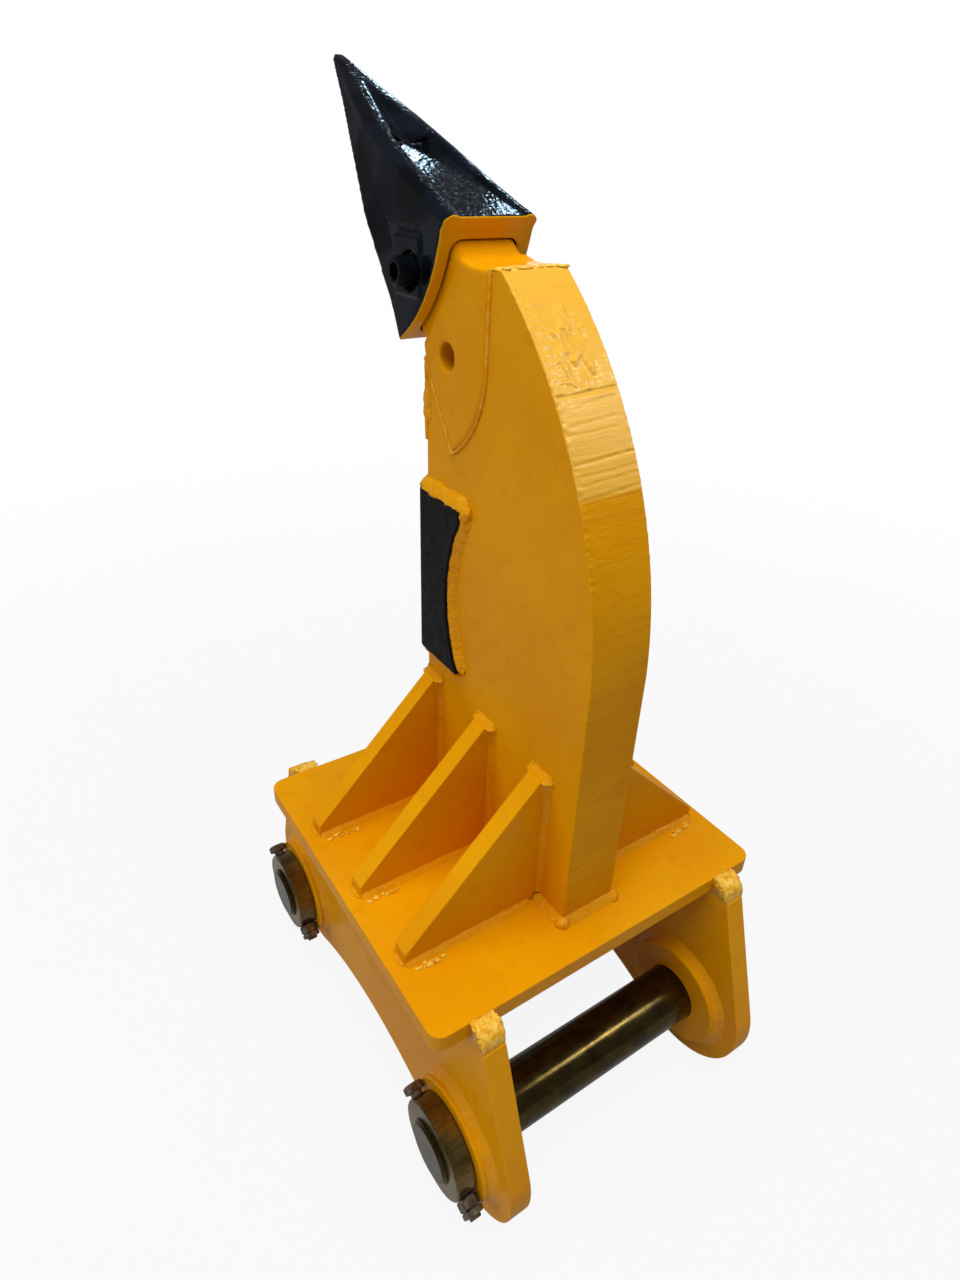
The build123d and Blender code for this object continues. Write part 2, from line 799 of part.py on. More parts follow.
# Mounting pins, each with a bolted collar at both ends
def bolt_plane(middle_x, middle_y, bolt_angle, distance):
    """Plane square to a bolt, at a distance from the pin's axis towards the bolt's head."""
    turn = math.radians(bolt_angle)
    return Plane(
        origin=(middle_x, middle_y + distance * math.cos(turn), distance * math.sin(turn)),
        x_dir=(1, 0, 0),
        z_dir=(0, math.cos(turn), math.sin(turn)),
    )


def mounting_pin(middle_y, bolt_angle):
    with BuildPart() as pin:
        with BuildSketch(Plane.YZ):
            with Locations((middle_y, 0)):
                Circle(pin_radius)
        extrude(amount=collar_outer_x + pin_end_stand_out, both=True)
        chamfer(pin.edges().filter_by(GeomType.CIRCLE), pin_chamfer)
        for end in (-1, 1):
            with BuildSketch(bolt_plane(end * collar_middle_x, middle_y, bolt_angle, 0)):
                Circle(bolt_hole_diameter / 2)
            extrude(amount=pin_diameter, both=True, mode=Mode.SUBTRACT)
    return pin


def collar(end, middle_y, bolt_angle):
    with BuildPart() as ring:
        with BuildSketch(Plane.YZ.offset(end * collar_middle_x)):
            with Locations((middle_y, 0)):
                Circle(collar_radius)
        extrude(amount=collar_thickness / 2, both=True)
        chamfer(ring.edges().filter_by(GeomType.CIRCLE), collar_chamfer)
        with BuildSketch(Plane.YZ.offset(end * collar_middle_x)):
            with Locations((middle_y, 0)):
                Circle(bore_radius)
        extrude(amount=collar_thickness, both=True, mode=Mode.SUBTRACT)
        with BuildSketch(bolt_plane(end * collar_middle_x, middle_y, bolt_angle, 0)):
            Circle(bolt_hole_diameter / 2)
        extrude(amount=collar_diameter, both=True, mode=Mode.SUBTRACT)
    return ring


head_seat = collar_radius + bolt_play
nut_seat = collar_radius + nut_seat_gap
lock_nut_seat = nut_seat + nut_height + nut_seat_gap
bolt_end = lock_nut_seat + lock_nut_height + bolt_stand_out


def collar_bolts(middle_y, bolt_angle):
    with BuildPart() as bolts:
        for end in (-1, 1):
            with BuildSketch(bolt_plane(end * collar_middle_x, middle_y, bolt_angle, head_seat)):
                RegularPolygon(bolt_across_flats / 2, 6, major_radius=False, rotation=30)
            extrude(amount=bolt_head_height)
            with BuildSketch(bolt_plane(end * collar_middle_x, middle_y, bolt_angle, head_seat)):
                Circle(bolt_diameter / 2)
            extrude(amount=-head_seat - bolt_end)
    return bolts


def collar_nuts(middle_y, bolt_angle):
    """A nut and a lock nut on the far end of each of the two bolts."""
    with BuildPart() as nuts:
        for end in (-1, 1):
            for seat, height in ((nut_seat, nut_height), (lock_nut_seat, lock_nut_height)):
                with BuildSketch(bolt_plane(end * collar_middle_x, middle_y, bolt_angle, -seat)):
                    RegularPolygon(bolt_across_flats / 2, 6, major_radius=False, rotation=30)
                    Circle(bolt_diameter / 2 + thread_clearance, mode=Mode.SUBTRACT)
                extrude(amount=-height)
    return nuts


for pin_name, middle_y, bolt_angle in (("stick", pin_y, stick_bolt_angle), ("link", -pin_y, link_bolt_angle)):
    save(mounting_pin(middle_y, bolt_angle), f"{pin_name}_pin")
    for side_name, end in (("left", -1), ("right", 1)):
        save(collar(end, middle_y, bolt_angle), f"{pin_name}_collar_{side_name}")
    save(collar_bolts(middle_y, bolt_angle), f"{pin_name}_bolts")
    save(collar_nuts(middle_y, bolt_angle), f"{pin_name}_nuts")
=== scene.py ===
"""Looks of the excavator ripper shank: enamel, castings, weld beads, camera and soft studio light."""
import itertools
import math
import random

import bmesh
import bpy
from mathutils import Matrix, Vector, noise
from mathutils.geometry import tessellate_polygon


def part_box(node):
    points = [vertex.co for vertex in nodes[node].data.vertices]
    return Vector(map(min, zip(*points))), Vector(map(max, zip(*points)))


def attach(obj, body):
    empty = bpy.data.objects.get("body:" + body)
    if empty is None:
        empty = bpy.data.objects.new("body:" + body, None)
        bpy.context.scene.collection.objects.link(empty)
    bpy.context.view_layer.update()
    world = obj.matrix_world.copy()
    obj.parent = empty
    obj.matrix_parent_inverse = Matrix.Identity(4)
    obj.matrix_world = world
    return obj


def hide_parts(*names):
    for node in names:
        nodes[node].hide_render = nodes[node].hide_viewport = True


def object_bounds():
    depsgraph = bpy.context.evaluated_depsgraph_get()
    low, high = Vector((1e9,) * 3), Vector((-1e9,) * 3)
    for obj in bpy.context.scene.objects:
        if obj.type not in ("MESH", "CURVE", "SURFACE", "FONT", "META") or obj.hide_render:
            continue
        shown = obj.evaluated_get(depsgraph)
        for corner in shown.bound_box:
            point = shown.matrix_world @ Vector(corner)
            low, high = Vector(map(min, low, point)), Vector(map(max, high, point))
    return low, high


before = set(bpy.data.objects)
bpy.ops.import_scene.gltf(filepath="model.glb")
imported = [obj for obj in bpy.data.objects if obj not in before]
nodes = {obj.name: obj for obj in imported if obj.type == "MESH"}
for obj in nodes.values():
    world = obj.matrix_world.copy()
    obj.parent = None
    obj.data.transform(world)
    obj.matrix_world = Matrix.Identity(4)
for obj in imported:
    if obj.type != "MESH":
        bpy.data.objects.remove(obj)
cad_low, cad_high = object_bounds()

MM = 0.001
X, Y, Z = Vector((1, 0, 0)), Vector((0, 1, 0)), Vector((0, 0, 1))

# Strength of the pale floor and background: near the object, as mirrored, and as light on it
FLOOR_GLOW = 0.9
FLOOR_GLOSSY = 0.3
WORLD_GLOSSY = 0.15
WORLD_DIFFUSE = 0.23

# Places in the side view of the shank, as (y, z)
shank_low, shank_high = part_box("shank")
SHANK_HALF = shank_high.x
CROWN = (shank_high.y - 141 * MM, shank_high.z)
BEND = (shank_low.y, shank_low.z + 334 * MM)
TAIL_TOP = (CROWN[0] + 19 * MM, shank_high.z)
TAIL_STRAIGHT_END = (TAIL_TOP[0] + 2 * MM, shank_high.z - 90 * MM)
TAIL_BEND = (TAIL_TOP[0] + 16 * MM, shank_high.z - 149 * MM)
TAIL_TIP = (shank_high.y - 59 * MM, shank_high.z - 198 * MM)
TAIL_FRONT = (shank_high.y, shank_high.z - 105 * MM)

# The tooth's own axis, from NOSE on, and the circle that its rim follows in the side view
NOSE = (shank_high.y - 15 * MM, shank_high.z - 29 * MM)
NOSE_Y, NOSE_Z = math.cos(math.radians(37.7)), math.sin(math.radians(37.7))
RIM_REACH, RIM_LIFT = 178.15 * MM, -4.25 * MM
RIM_Y = NOSE[0] + RIM_REACH * NOSE_Y - RIM_LIFT * NOSE_Z
RIM_Z = NOSE[1] + RIM_REACH * NOSE_Z + RIM_LIFT * NOSE_Y
RIM_RADIUS = 193.2 * MM


def add_object(name, data):
    """A new object in the scene."""
    obj = bpy.data.objects.new(name, data)
    bpy.context.scene.collection.objects.link(obj)
    return obj


# Camera: its place, its axes and its focal length in pixels of the photograph's frame
CAMERA_PLACE = (-0.5093, -0.6836, 1.0654)
CAMERA_RIGHT = Vector((0.8343939511, -0.5504181337, 0.0287508685))
CAMERA_DOWN = Vector((-0.2681242499, -0.4509261601, -0.8513371745))
CAMERA_FORWARD = Vector((0.4815559375, 0.7026417837, -0.5238305096))
FOCAL_PIXELS = 795.2
PHOTO_HEIGHT = 1280
SENSOR = 36.0


def make_camera():
    data = bpy.data.cameras.new("camera")
    data.sensor_width = SENSOR
    data.lens = FOCAL_PIXELS * SENSOR / PHOTO_HEIGHT
    data.clip_start = 0.02
    data.clip_end = 60.0
    camera = add_object("camera", data)
    turn = Matrix((CAMERA_RIGHT, -CAMERA_DOWN, -CAMERA_FORWARD)).transposed()
    camera.matrix_world = Matrix.Translation(CAMERA_PLACE) @ turn.to_4x4()
    bpy.context.scene.camera = camera


# Helpers for materials
def add_node(tree, kind, inputs=None, **settings):
    """A node with its settings; inputs gives, by name or number, an output to link or a plain value."""
    made = tree.nodes.new(kind)
    for key, value in settings.items():
        setattr(made, key, value)
    for key, value in (inputs or {}).items():
        feed(tree, made.inputs[key], value)
    return made


def feed(tree, socket, value):
    """Links an output to the socket, or gives the socket a plain value."""
    if isinstance(value, bpy.types.NodeSocket):
        tree.links.new(value, socket)
    else:
        socket.default_value = value


class Shader:
    """A material's node tree with short calls for the nodes used here."""

    def __init__(self, name):
        self.material = bpy.data.materials.new(name)
        self.material.use_nodes = True
        self.tree = self.material.node_tree
        self.bsdf = self.tree.nodes["Principled BSDF"]
        self.place = self.tree.nodes.new("ShaderNodeTexCoord").outputs["Object"]

    def node(self, kind, inputs=None, **settings):
        return add_node(self.tree, kind, inputs, **settings)

    def axes(self):
        """The place's X, Y and Z as single values."""
        return self.node("ShaderNodeSeparateXYZ", {0: self.place}).outputs

    def stretched(self, scale):
        return self.node("ShaderNodeMapping", {"Vector": self.place, "Scale": scale}).outputs["Vector"]

    def noise(self, scale, detail=3.0, rough=0.55, place=None, distortion=0.0):
        inputs = {"Vector": place or self.place, "Scale": scale, "Detail": detail}
        inputs.update({"Roughness": rough, "Distortion": distortion})
        return self.node("ShaderNodeTexNoise", inputs).outputs["Fac"]

    def ramp(self, fac, low, high, to_low=0.0, to_high=1.0):
        inputs = {"Value": fac, "From Min": low, "From Max": high, "To Min": to_low, "To Max": to_high}
        return self.node("ShaderNodeMapRange", inputs, interpolation_type="SMOOTHSTEP").outputs["Result"]

    def math(self, operation, a, b=0.0):
        return self.node("ShaderNodeMath", {0: a, 1: b}, operation=operation).outputs[0]

    def mix(self, fac, a, b):
        return self.node("ShaderNodeMix", {0: fac, 6: a, 7: b}, data_type="RGBA").outputs[2]

    def bump(self, layers):
        """Chain of bumps, each (height, distance in metres, strength)."""
        chained = {}
        for height, distance, strength in layers:
            inputs = {"Height": height, "Distance": distance, "Strength": strength, **chained}
            chained = {"Normal": self.node("ShaderNodeBump", inputs).outputs["Normal"]}
        self.set(**chained)

    def set(self, **values):
        for key, value in values.items():
            feed(self.tree, self.bsdf.inputs[key.replace("_", " ")], value)


def colour(red, green, blue):
    """Linear colour with alpha from 0-255 display values."""
    out = []
    for value in (red, green, blue):
        c = value / 255
        out.append(c / 12.92 if c <= 0.04045 else ((c + 0.055) / 1.055) ** 2.4)
    return (*out, 1.0)


def mm(*values):
    """Several sizes given in millimetres."""
    return tuple(value * MM for value in values)


# Materials
ENAMEL = colour(226, 149, 1)
ENAMEL_LIGHT = colour(234, 160, 1)
ENAMEL_WARM = colour(216, 136, 1)
ENAMEL_GRIME = colour(180, 104, 2)
# Pale tone painted on weld beads as glints
ENAMEL_PAINTED_GLINT = colour(253, 210, 84)
CUT_STREAK = colour(206, 128, 6)
# Paler tone painted on the flame-cut face's upper part as sheen
CUT_PAINTED_SHEEN = colour(246, 190, 66)
RIM_ENAMEL = colour(230, 164, 3)
BRUSHED_BROWN = colour(50, 36, 15)
OLIVE_RUST = colour(80, 42, 16)
BOLT_RUST = colour(76, 46, 28)


def yellow_enamel(name, rough_bump=0.0, bead=False, cut=False, painted_glints=0.15):
    """Yellow paint with grime and orange peel, painted glints on beads and a painted sheen high on the cut
    face; the last argument is how much of a bead's colour is painted glint.
    """
    s = Shader(name)
    broad = s.noise(5.0, 3.0, 0.5)
    patch = s.noise(38.0, 4.0, 0.6)
    tone = s.mix(s.ramp(broad, 0.35, 0.65), ENAMEL, ENAMEL_LIGHT)
    tone = s.mix(s.ramp(patch, 0.5, 0.72, 0.0, 0.35), tone, ENAMEL_WARM)
    grime = s.noise(11.0, 6.0, 0.68, distortion=0.4)
    tone = s.mix(s.ramp(grime, 0.6, 0.78, 0.0, 0.22), tone, ENAMEL_GRIME)
    rough = s.ramp(s.noise(60.0, 4.0, 0.6), 0.3, 0.7, 0.28, 0.42)
    peel = s.noise(420.0, 2.0, 0.5)
    sag = s.noise(26.0, 2.0, 0.4)
    layers = [(sag, 0.0016, 0.3), (peel, 0.00035, 0.3)]
    if rough_bump:
        layers.append((s.noise(150.0, 5.0, 0.65), 0.0012, rough_bump))
    if bead:
        layers.append((s.noise(200.0, 3.0, 0.5), 0.0008, 0.4 + 0.5 * painted_glints))
        # Pale specks painted on the bead's colour: painted glints, more of them as the last argument grows
        painted_glint_mask = s.ramp(s.noise(140.0, 3.0, 0.6), 0.5 - 0.2 * painted_glints, 0.72 - 0.15 * painted_glints, 0.0, painted_glints)
        tone = s.mix(painted_glint_mask, tone, ENAMEL_PAINTED_GLINT)
    if cut:
        drag = s.noise(1.0, 3.0, 0.6, place=s.stretched((9.0, 420.0, 420.0)))
        layers.append((drag, 0.0007, 0.5))
        streak = s.noise(1.0, 2.0, 0.5, place=s.stretched((7.0, 150.0, 150.0)))
        tone = s.mix(s.ramp(streak, 0.52, 0.7, 0.0, 0.3), tone, CUT_STREAK)
        # Above about 0.787 m the cut face is painted paler, a painted sheen where it tilts up to the light,
        # and gets a coat
        height = s.axes()["Z"]
        upper_sheen = s.ramp(height, 0.784, 0.792)
        tone = s.mix(s.math("MULTIPLY", upper_sheen, 0.75), tone, CUT_PAINTED_SHEEN)
        s.set(Coat_Weight=s.math("MULTIPLY", upper_sheen, 0.5), Coat_Roughness=0.22)
        rough = s.math("ADD", rough, s.ramp(height, 0.5, 0.78, 0.25, 0.0))
    elif bead:
        s.set(Coat_Weight=0.15 + 0.3 * painted_glints, Coat_Roughness=0.18)
    else:
        s.set(Coat_Weight=0.04, Coat_Roughness=0.1)
    s.set(Base_Color=tone, Roughness=rough, Specular_IOR_Level=0.08)
    s.bump(layers)
    return s.material


def black_gloss(name, rim=False, polish=(0.05, 0.09)):
    """Glossy black, dented and specked on its upper side; with rim, its socket's edge is yellow."""
    s = Shader(name)
    tone = s.mix(s.ramp(s.noise(16.0, 3.0, 0.5), 0.4, 0.62), colour(6, 8, 13), colour(15, 20, 30))
    rough = s.ramp(s.noise(90.0, 4.0, 0.6), 0.3, 0.7, *polish)
    if rim:
        axes = s.axes()
        off_y = s.math("SUBTRACT", axes["Y"], RIM_Y)
        off_z = s.math("SUBTRACT", axes["Z"], RIM_Z)
        square_y = s.math("MULTIPLY", off_y, off_y)
        square_z = s.math("MULTIPLY", off_z, off_z)
        away = s.math("SQRT", s.math("ADD", square_y, square_z))
        inside = s.math("SUBTRACT", RIM_RADIUS, away)
        reach_y = s.math("MULTIPLY", s.math("SUBTRACT", axes["Y"], NOSE[0]), NOSE_Y)
        reach_z = s.math("MULTIPLY", s.math("SUBTRACT", axes["Z"], NOSE[1]), NOSE_Z)
        depth = s.math("MAXIMUM", inside, s.math("ADD", reach_y, reach_z))
        edge = s.math("ADD", depth, s.ramp(s.noise(160.0, 3.0, 0.6), 0.3, 0.7, -0.0002, 0.0002))
        yellow = s.ramp(edge, 0.0013, 0.0021, 1.0, 0.0)
        tone = s.mix(yellow, tone, RIM_ENAMEL)
    s.set(Base_Color=tone, Roughness=rough, Specular_IOR_Level=0.12)
    normal = s.node("ShaderNodeNewGeometry").outputs["True Normal"]
    facing = s.node("ShaderNodeVectorMath", {0: normal, 1: (0.0, -NOSE_Z, NOSE_Y)}, operation="DOT_PRODUCT")
    top = s.ramp(facing.outputs["Value"], 0.75, 0.95, 0.12, 1.0)
    grain = s.math("MULTIPLY", s.noise(300.0, 1.5, 0.5), top)
    dents = s.math("MULTIPLY", s.noise(155.0, 1.0, 0.5), top)
    specks = s.math("MULTIPLY", s.ramp(s.noise(240.0, 2.0, 0.5), 0.58, 0.7), top)
    s.bump([(dents, 0.0016, 0.27), (grain, 0.0011, 0.1), (specks, 0.0006, 0.35)])
    return s.material


def satin_black(name):
    """The guard's dull black, with a fine grain."""
    s = Shader(name)
    tone = s.mix(s.ramp(s.noise(26.0, 4.0, 0.6), 0.35, 0.7), colour(15, 15, 17), colour(25, 25, 27))
    s.set(Base_Color=tone)
    s.set(Roughness=s.ramp(s.noise(110.0, 4.0, 0.6), 0.3, 0.7, 0.42, 0.58))
    s.set(Specular_IOR_Level=0.12)
    s.bump([(s.noise(300.0, 4.0, 0.6), 0.0006, 0.35)])
    return s.material


def olive_steel(name, dark=(60, 48, 21), light=(92, 77, 38)):
    """Turned steel with an olive film, brushed round and a little rusty."""
    s = Shader(name)
    along = s.stretched((9.0, 260.0, 260.0))
    brushed = s.noise(1.0, 4.0, 0.6, place=along)
    patch = s.noise(22.0, 5.0, 0.65, distortion=0.6)
    tone = s.mix(s.ramp(patch, 0.35, 0.68), colour(*dark), colour(*light))
    tone = s.mix(s.ramp(brushed, 0.3, 0.75, 0.0, 0.5), tone, BRUSHED_BROWN)
    rust = s.noise(70.0, 6.0, 0.7, distortion=0.8)
    tone = s.mix(s.ramp(rust, 0.62, 0.76, 0.0, 0.6), tone, OLIVE_RUST)
    s.set(Base_Color=tone, Metallic=0.85)
    s.set(Roughness=s.ramp(s.noise(55.0, 5.0, 0.65), 0.3, 0.7, 0.13, 0.24))
    s.bump([(brushed, 0.0003, 0.25), (s.noise(240.0, 4.0, 0.6), 0.0004, 0.2)])
    return s.material


def plated_steel(name):
    """Plated bolts and nuts, with rust coming through."""
    s = Shader(name)
    patch = s.noise(90.0, 5.0, 0.65, distortion=0.4)
    tone = s.mix(s.ramp(patch, 0.38, 0.66), colour(96, 82, 70), colour(146, 134, 120))
    rust = s.noise(150.0, 5.0, 0.7, distortion=0.8)
    tone = s.mix(s.ramp(rust, 0.56, 0.72, 0.0, 0.75), tone, BOLT_RUST)
    s.set(Base_Color=tone, Metallic=0.75)
    s.set(Roughness=s.ramp(s.noise(120.0, 4.0, 0.6), 0.3, 0.7, 0.3, 0.48))
    s.bump([(s.noise(380.0, 4.0, 0.6), 0.0004, 0.3)])
    return s.material


def make_materials():
    return {
        "plate": yellow_enamel("enamel_plate"),
        "cut": yellow_enamel("enamel_flame_cut", cut=True),
        "casting": yellow_enamel("enamel_casting", rough_bump=0.12),
        "bead": yellow_enamel("enamel_bead", bead=True),
        "seam": yellow_enamel("enamel_seam", bead=True, painted_glints=0.4),
        "spatter": yellow_enamel("enamel_spatter", bead=True, painted_glints=0.8),
        "tooth": black_gloss("tooth_gloss", rim=True),
        "tooth_pin": black_gloss("tooth_pin_gloss", polish=(0.26, 0.38)),
        "guard": satin_black("guard_satin"),
        "pin": olive_steel("pin_olive"),
        "collar": olive_steel("collar_olive", (112, 93, 48), (152, 130, 74)),
        "bolt": plated_steel("bolt_plated"),
    }


# Mesh helpers
def shade(obj, material):
    obj.data.materials.clear()
    obj.data.materials.append(material)


def new_piece(name, vertices, faces, material):
    mesh = bpy.data.meshes.new(name)
    mesh.from_pydata([tuple(v) for v in vertices], [], faces)
    mesh.validate()
    mesh.update()
    mesh.shade_smooth()
    obj = add_object(name, mesh)
    shade(obj, material)
    return obj


def modifier(obj, name, kind, **settings):
    made = obj.modifiers.new(name, kind)
    for key, value in settings.items():
        setattr(made, key, value)


def soften(obj, width, segments):
    """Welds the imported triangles, merges flat faces and rounds the sharp edges, as modifiers."""
    modifier(obj, "join", "WELD", merge_threshold=0.00001)
    modifier(obj, "flat", "DECIMATE", decimate_type="DISSOLVE", angle_limit=math.radians(0.6))
    modifier(obj, "round", "BEVEL", width=width, segments=segments, limit_method="ANGLE",
             angle_limit=math.radians(28))
    modifier(obj, "shading", "WEIGHTED_NORMAL", keep_sharp=True)
    obj.data.shade_smooth()


def cast_copy(node, name, voxel, rounds, material):
    """A remeshed copy of a node with its edges rounded, as a casting has them."""
    obj = add_object(name, nodes[node].data.copy())
    modifier(obj, "join", "WELD", merge_threshold=0.00001)
    modifier(obj, "remesh", "REMESH", mode="VOXEL", voxel_size=voxel)
    modifier(obj, "smooth", "SMOOTH", factor=0.5, iterations=rounds)
    apply_modifiers(obj)
    obj.data.shade_smooth()
    shade(obj, material)
    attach(obj, "frame")
    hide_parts(node)


def tidy_normals(obj):
    """Turns every face outwards."""
    mesh = bmesh.new()
    mesh.from_mesh(obj.data)
    bmesh.ops.recalc_face_normals(mesh, faces=mesh.faces)
    mesh.to_mesh(obj.data)
    mesh.free()


def apply_modifiers(obj):
    """Leaves the object with the mesh that its modifiers make, and without them."""
    graph = bpy.context.evaluated_depsgraph_get()
    made = bpy.data.meshes.new_from_object(obj.evaluated_get(graph))
    old = obj.data
    obj.modifiers.clear()
    obj.data = made
    bpy.data.meshes.remove(old)


# Weld beads
class Bead:
    """Collects weld runs into one mesh, each run a rippled sweep in a corner or over a flat seam."""

    def __init__(self, seed):
        self.vertices = []
        self.faces = []
        self.random = random.Random(seed)

    def sweep(self, points, spans, closed, pitch, across, bulge, ripple):
        """spans: per point (start, finish, outward, root, height), the two edges of the metal,
        the way it bulges, the point behind it and its thickness."""
        phase = self.random.uniform(0, 50)
        base = len(self.vertices)
        rows = across + 1
        s = 0.0
        for i, (start, finish, outward, root, height) in enumerate(spans):
            if i:
                s += (points[i] - points[i - 1]).length
            for j in range(across):
                v = j / (across - 1)
                edge = math.sin(math.pi * v)
                wave = (s / pitch + 1.6 * edge + 0.4 * noise.noise(Vector((phase, s * 90.0, v * 2)))) % 1.0
                step = (1 - wave) ** 1.5
                lift = height * (bulge * edge ** 0.8 + ripple * step * edge ** 0.5)
                lift += 0.07 * min(height, 9 * MM) * noise.noise(Vector((s * 260.0, v * 4, phase))) * edge
                self.vertices.append(start.lerp(finish, v) + outward * lift)
            self.vertices.append(root)
        count = len(spans)
        for i in range(count if closed else count - 1):
            here, there = base + i * rows, base + ((i + 1) % count) * rows
            for j in range(rows):
                k = (j + 1) % rows
                self.faces.append((here + j, here + k, there + k, there + j))
        if not closed:
            self.faces.append(tuple(range(base, base + rows))[::-1])
            last = base + (count - 1) * rows
            self.faces.append(tuple(range(last, last + rows)))

    def swell(self, points, reach, closed):
        """Per point how full the run is: it wanders a little and rounds off at its ends."""
        phase = self.random.uniform(0, 50)
        travel = [0.0]
        for a, b in zip(points, points[1:]):
            travel.append(travel[-1] + (b - a).length)
        out = []
        for s in travel:
            full = 1.0 + 0.13 * noise.noise(Vector((phase, s * 55.0, 0.0)))
            full += 0.07 * noise.noise(Vector((phase + 9, s * 210.0, 0.0)))
            near = min(s, travel[-1] - s)
            if reach and not closed and near < reach:
                full *= 0.22 + 0.78 * math.sqrt(max(0.0, 1 - (1 - near / reach) ** 2))
            out.append(full)
        if closed:
            blend = max(2, len(out) // 20)
            for i in range(blend):
                share = (i + 1) / (blend + 1)
                out[-blend + i] = out[-blend + i] * (1 - share) + out[0] * share
        return out

    def corner(self, points, first, second, leg_first, leg_second, closed=False, pitch=3.6 * MM,
               bulge=0.3, ripple=0.1, across=9, rounded=True, wander=1.0):
        """A fillet run. points: the corner's line. first and second: unit directions along the two faces."""
        sunk = 1.2 * MM
        fill = self.swell(points, 0.9 * max(leg_first, leg_second) if rounded else 0, closed)
        spans = []
        for point, one, two, full in zip(points, first, second, fill):
            full = 1 + (full - 1) * wander
            a, b = leg_first * full, leg_second * full
            outward = (one + two).normalized()
            spans.append((point + one * a - two * sunk, point + two * b - one * sunk, outward,
                          point - (one + two) * sunk, min(a, b)))
        self.sweep(points, spans, closed, pitch, across, bulge, ripple)

    def cap(self, points, sides, outs, width, height, pitch, ripple, across=9,
            sunk=1.0 * MM, rounded=True, reach=None):
        """A run over a flat seam: width across, height proud. sides and outs: unit directions per point."""
        fill = self.swell(points, (reach or 0.8 * width) if rounded else 0, False)
        spans = []
        for point, side, out, full in zip(points, sides, outs, fill):
            half = width / 2 * (0.55 + 0.45 * full)
            low = point - out * sunk
            spans.append((low - side * half, low + side * half, out, low - out * sunk, height * full + sunk))
        self.sweep(points, spans, False, pitch, across, 1.0, ripple)

    def straight(self, start, end, first, second, leg_first, leg_second, **more):
        """A fillet run along a straight corner."""
        start, end = Vector(start), Vector(end)
        count = max(4, int((end - start).length / (0.9 * MM)))
        points = [start.lerp(end, i / (count - 1)) for i in range(count)]
        self.corner(points, [Vector(first)] * count, [Vector(second)] * count, leg_first, leg_second, **more)

    def blob(self, centre, radii, rough=0.12, segments=28, rings=16):
        """A lump of weld metal: an ellipsoid with noise."""
        centre = Vector(centre)
        phase = self.random.uniform(0, 90)
        base = len(self.vertices)
        for r in range(1, rings):
            tilt = math.pi * r / rings
            girth = math.sin(tilt)
            for k in range(segments):
                turn = 2 * math.pi * k / segments
                unit = Vector((girth * math.cos(turn), girth * math.sin(turn), math.cos(tilt)))
                grow = 1 + rough * noise.noise(unit * 2.1 + Vector((phase, 0, 0)))
                grow += 0.4 * rough * noise.noise(unit * 6.3 + Vector((0, phase, 0)))
                reach = (axis * unit[n] * radii[n] * grow for n, axis in enumerate((X, Y, Z)))
                self.vertices.append(centre + sum(reach, Vector()))
        top = len(self.vertices)
        self.vertices += [centre + Z * radii[2], centre - Z * radii[2]]
        for r in range(rings - 2):
            for k in range(segments):
                n = (k + 1) % segments
                a, b = base + r * segments, base + (r + 1) * segments
                self.faces.append((a + k, b + k, b + n, a + n))
        for k in range(segments):
            n = (k + 1) % segments
            last = base + (rings - 2) * segments
            self.faces.append((base + k, base + n, top))
            self.faces.append((last + n, last + k, top + 1))

    def pad(self, place, half_width, low, high, stand):
        """Weld metal built up over a face that looks along Y: stand(z) gives how far it comes out."""
        columns, rows, sunk = 46, 64, 3 * MM
        phase = self.random.uniform(0, 50)
        base = len(self.vertices)
        for r in range(rows + 1):
            z = low + (high - low) * r / rows
            for c in range(columns + 1):
                u = 2 * c / columns - 1
                lift = stand(z) * math.sqrt(max(0.0, 1 - abs(u) ** 7))
                wave = z / (2.1 * MM) + 1.4 * noise.noise(Vector((u, z * 40, phase)))
                lift += 0.25 * MM * math.sin(wave + 2 * u * u)
                lift += 1.7 * MM * noise.noise(Vector((u * 1.7, z * 38.0, phase)))
                lift *= min(1.0, 4 * (1 - abs(2 * r / rows - 1)))
                wide = half_width * (1 + 0.02 * noise.noise(Vector((phase, z * 45.0, u))))
                self.vertices.append(place + Vector((u * wide, lift, z)))
        back = len(self.vertices)
        for r in range(rows + 1):
            z = low + (high - low) * r / rows
            for u in (-1, 1):
                self.vertices.append(place + Vector((u * half_width * 0.97, -sunk, z)))
        wide = columns + 1
        for r in range(rows):
            for c in range(columns):
                a = base + r * wide + c
                self.faces.append((a, a + 1, a + 1 + wide, a + wide))
            left, right = base + r * wide, base + r * wide + columns
            low_pair, high_pair = back + 2 * r, back + 2 * r + 2
            self.faces.append((left, left + wide, high_pair, low_pair))
            self.faces.append((right, low_pair + 1, high_pair + 1, right + wide))
            self.faces.append((low_pair, high_pair, high_pair + 1, low_pair + 1))
        self.faces.append((*range(base, base + wide), back + 1, back))
        last = base + rows * wide
        self.faces.append((*range(last, last + wide), back + 2 * rows + 1, back + 2 * rows))

    def piece(self, name, material, replaced):
        """Makes the runs one object, which stands for the nodes in replaced."""
        obj = new_piece(name, self.vertices, self.faces, material)
        tidy_normals(obj)
        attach(obj, "frame")
        if replaced:
            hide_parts(*replaced)


# Lines of points, in the side view unless they say otherwise
def line_points(a, b, step):
    """Points from a to b, about a step apart."""
    count = max(1, round(math.dist(a, b) / step))
    return [(a[0] + (b[0] - a[0]) * i / count, a[1] + (b[1] - a[1]) * i / count) for i in range(count + 1)]


def row_points(half, y, z, step):
    """Points along X, from -half to half, about a step apart."""
    return [Vector((x, y, z)) for x, _ in line_points((-half, y), (half, y), step)]


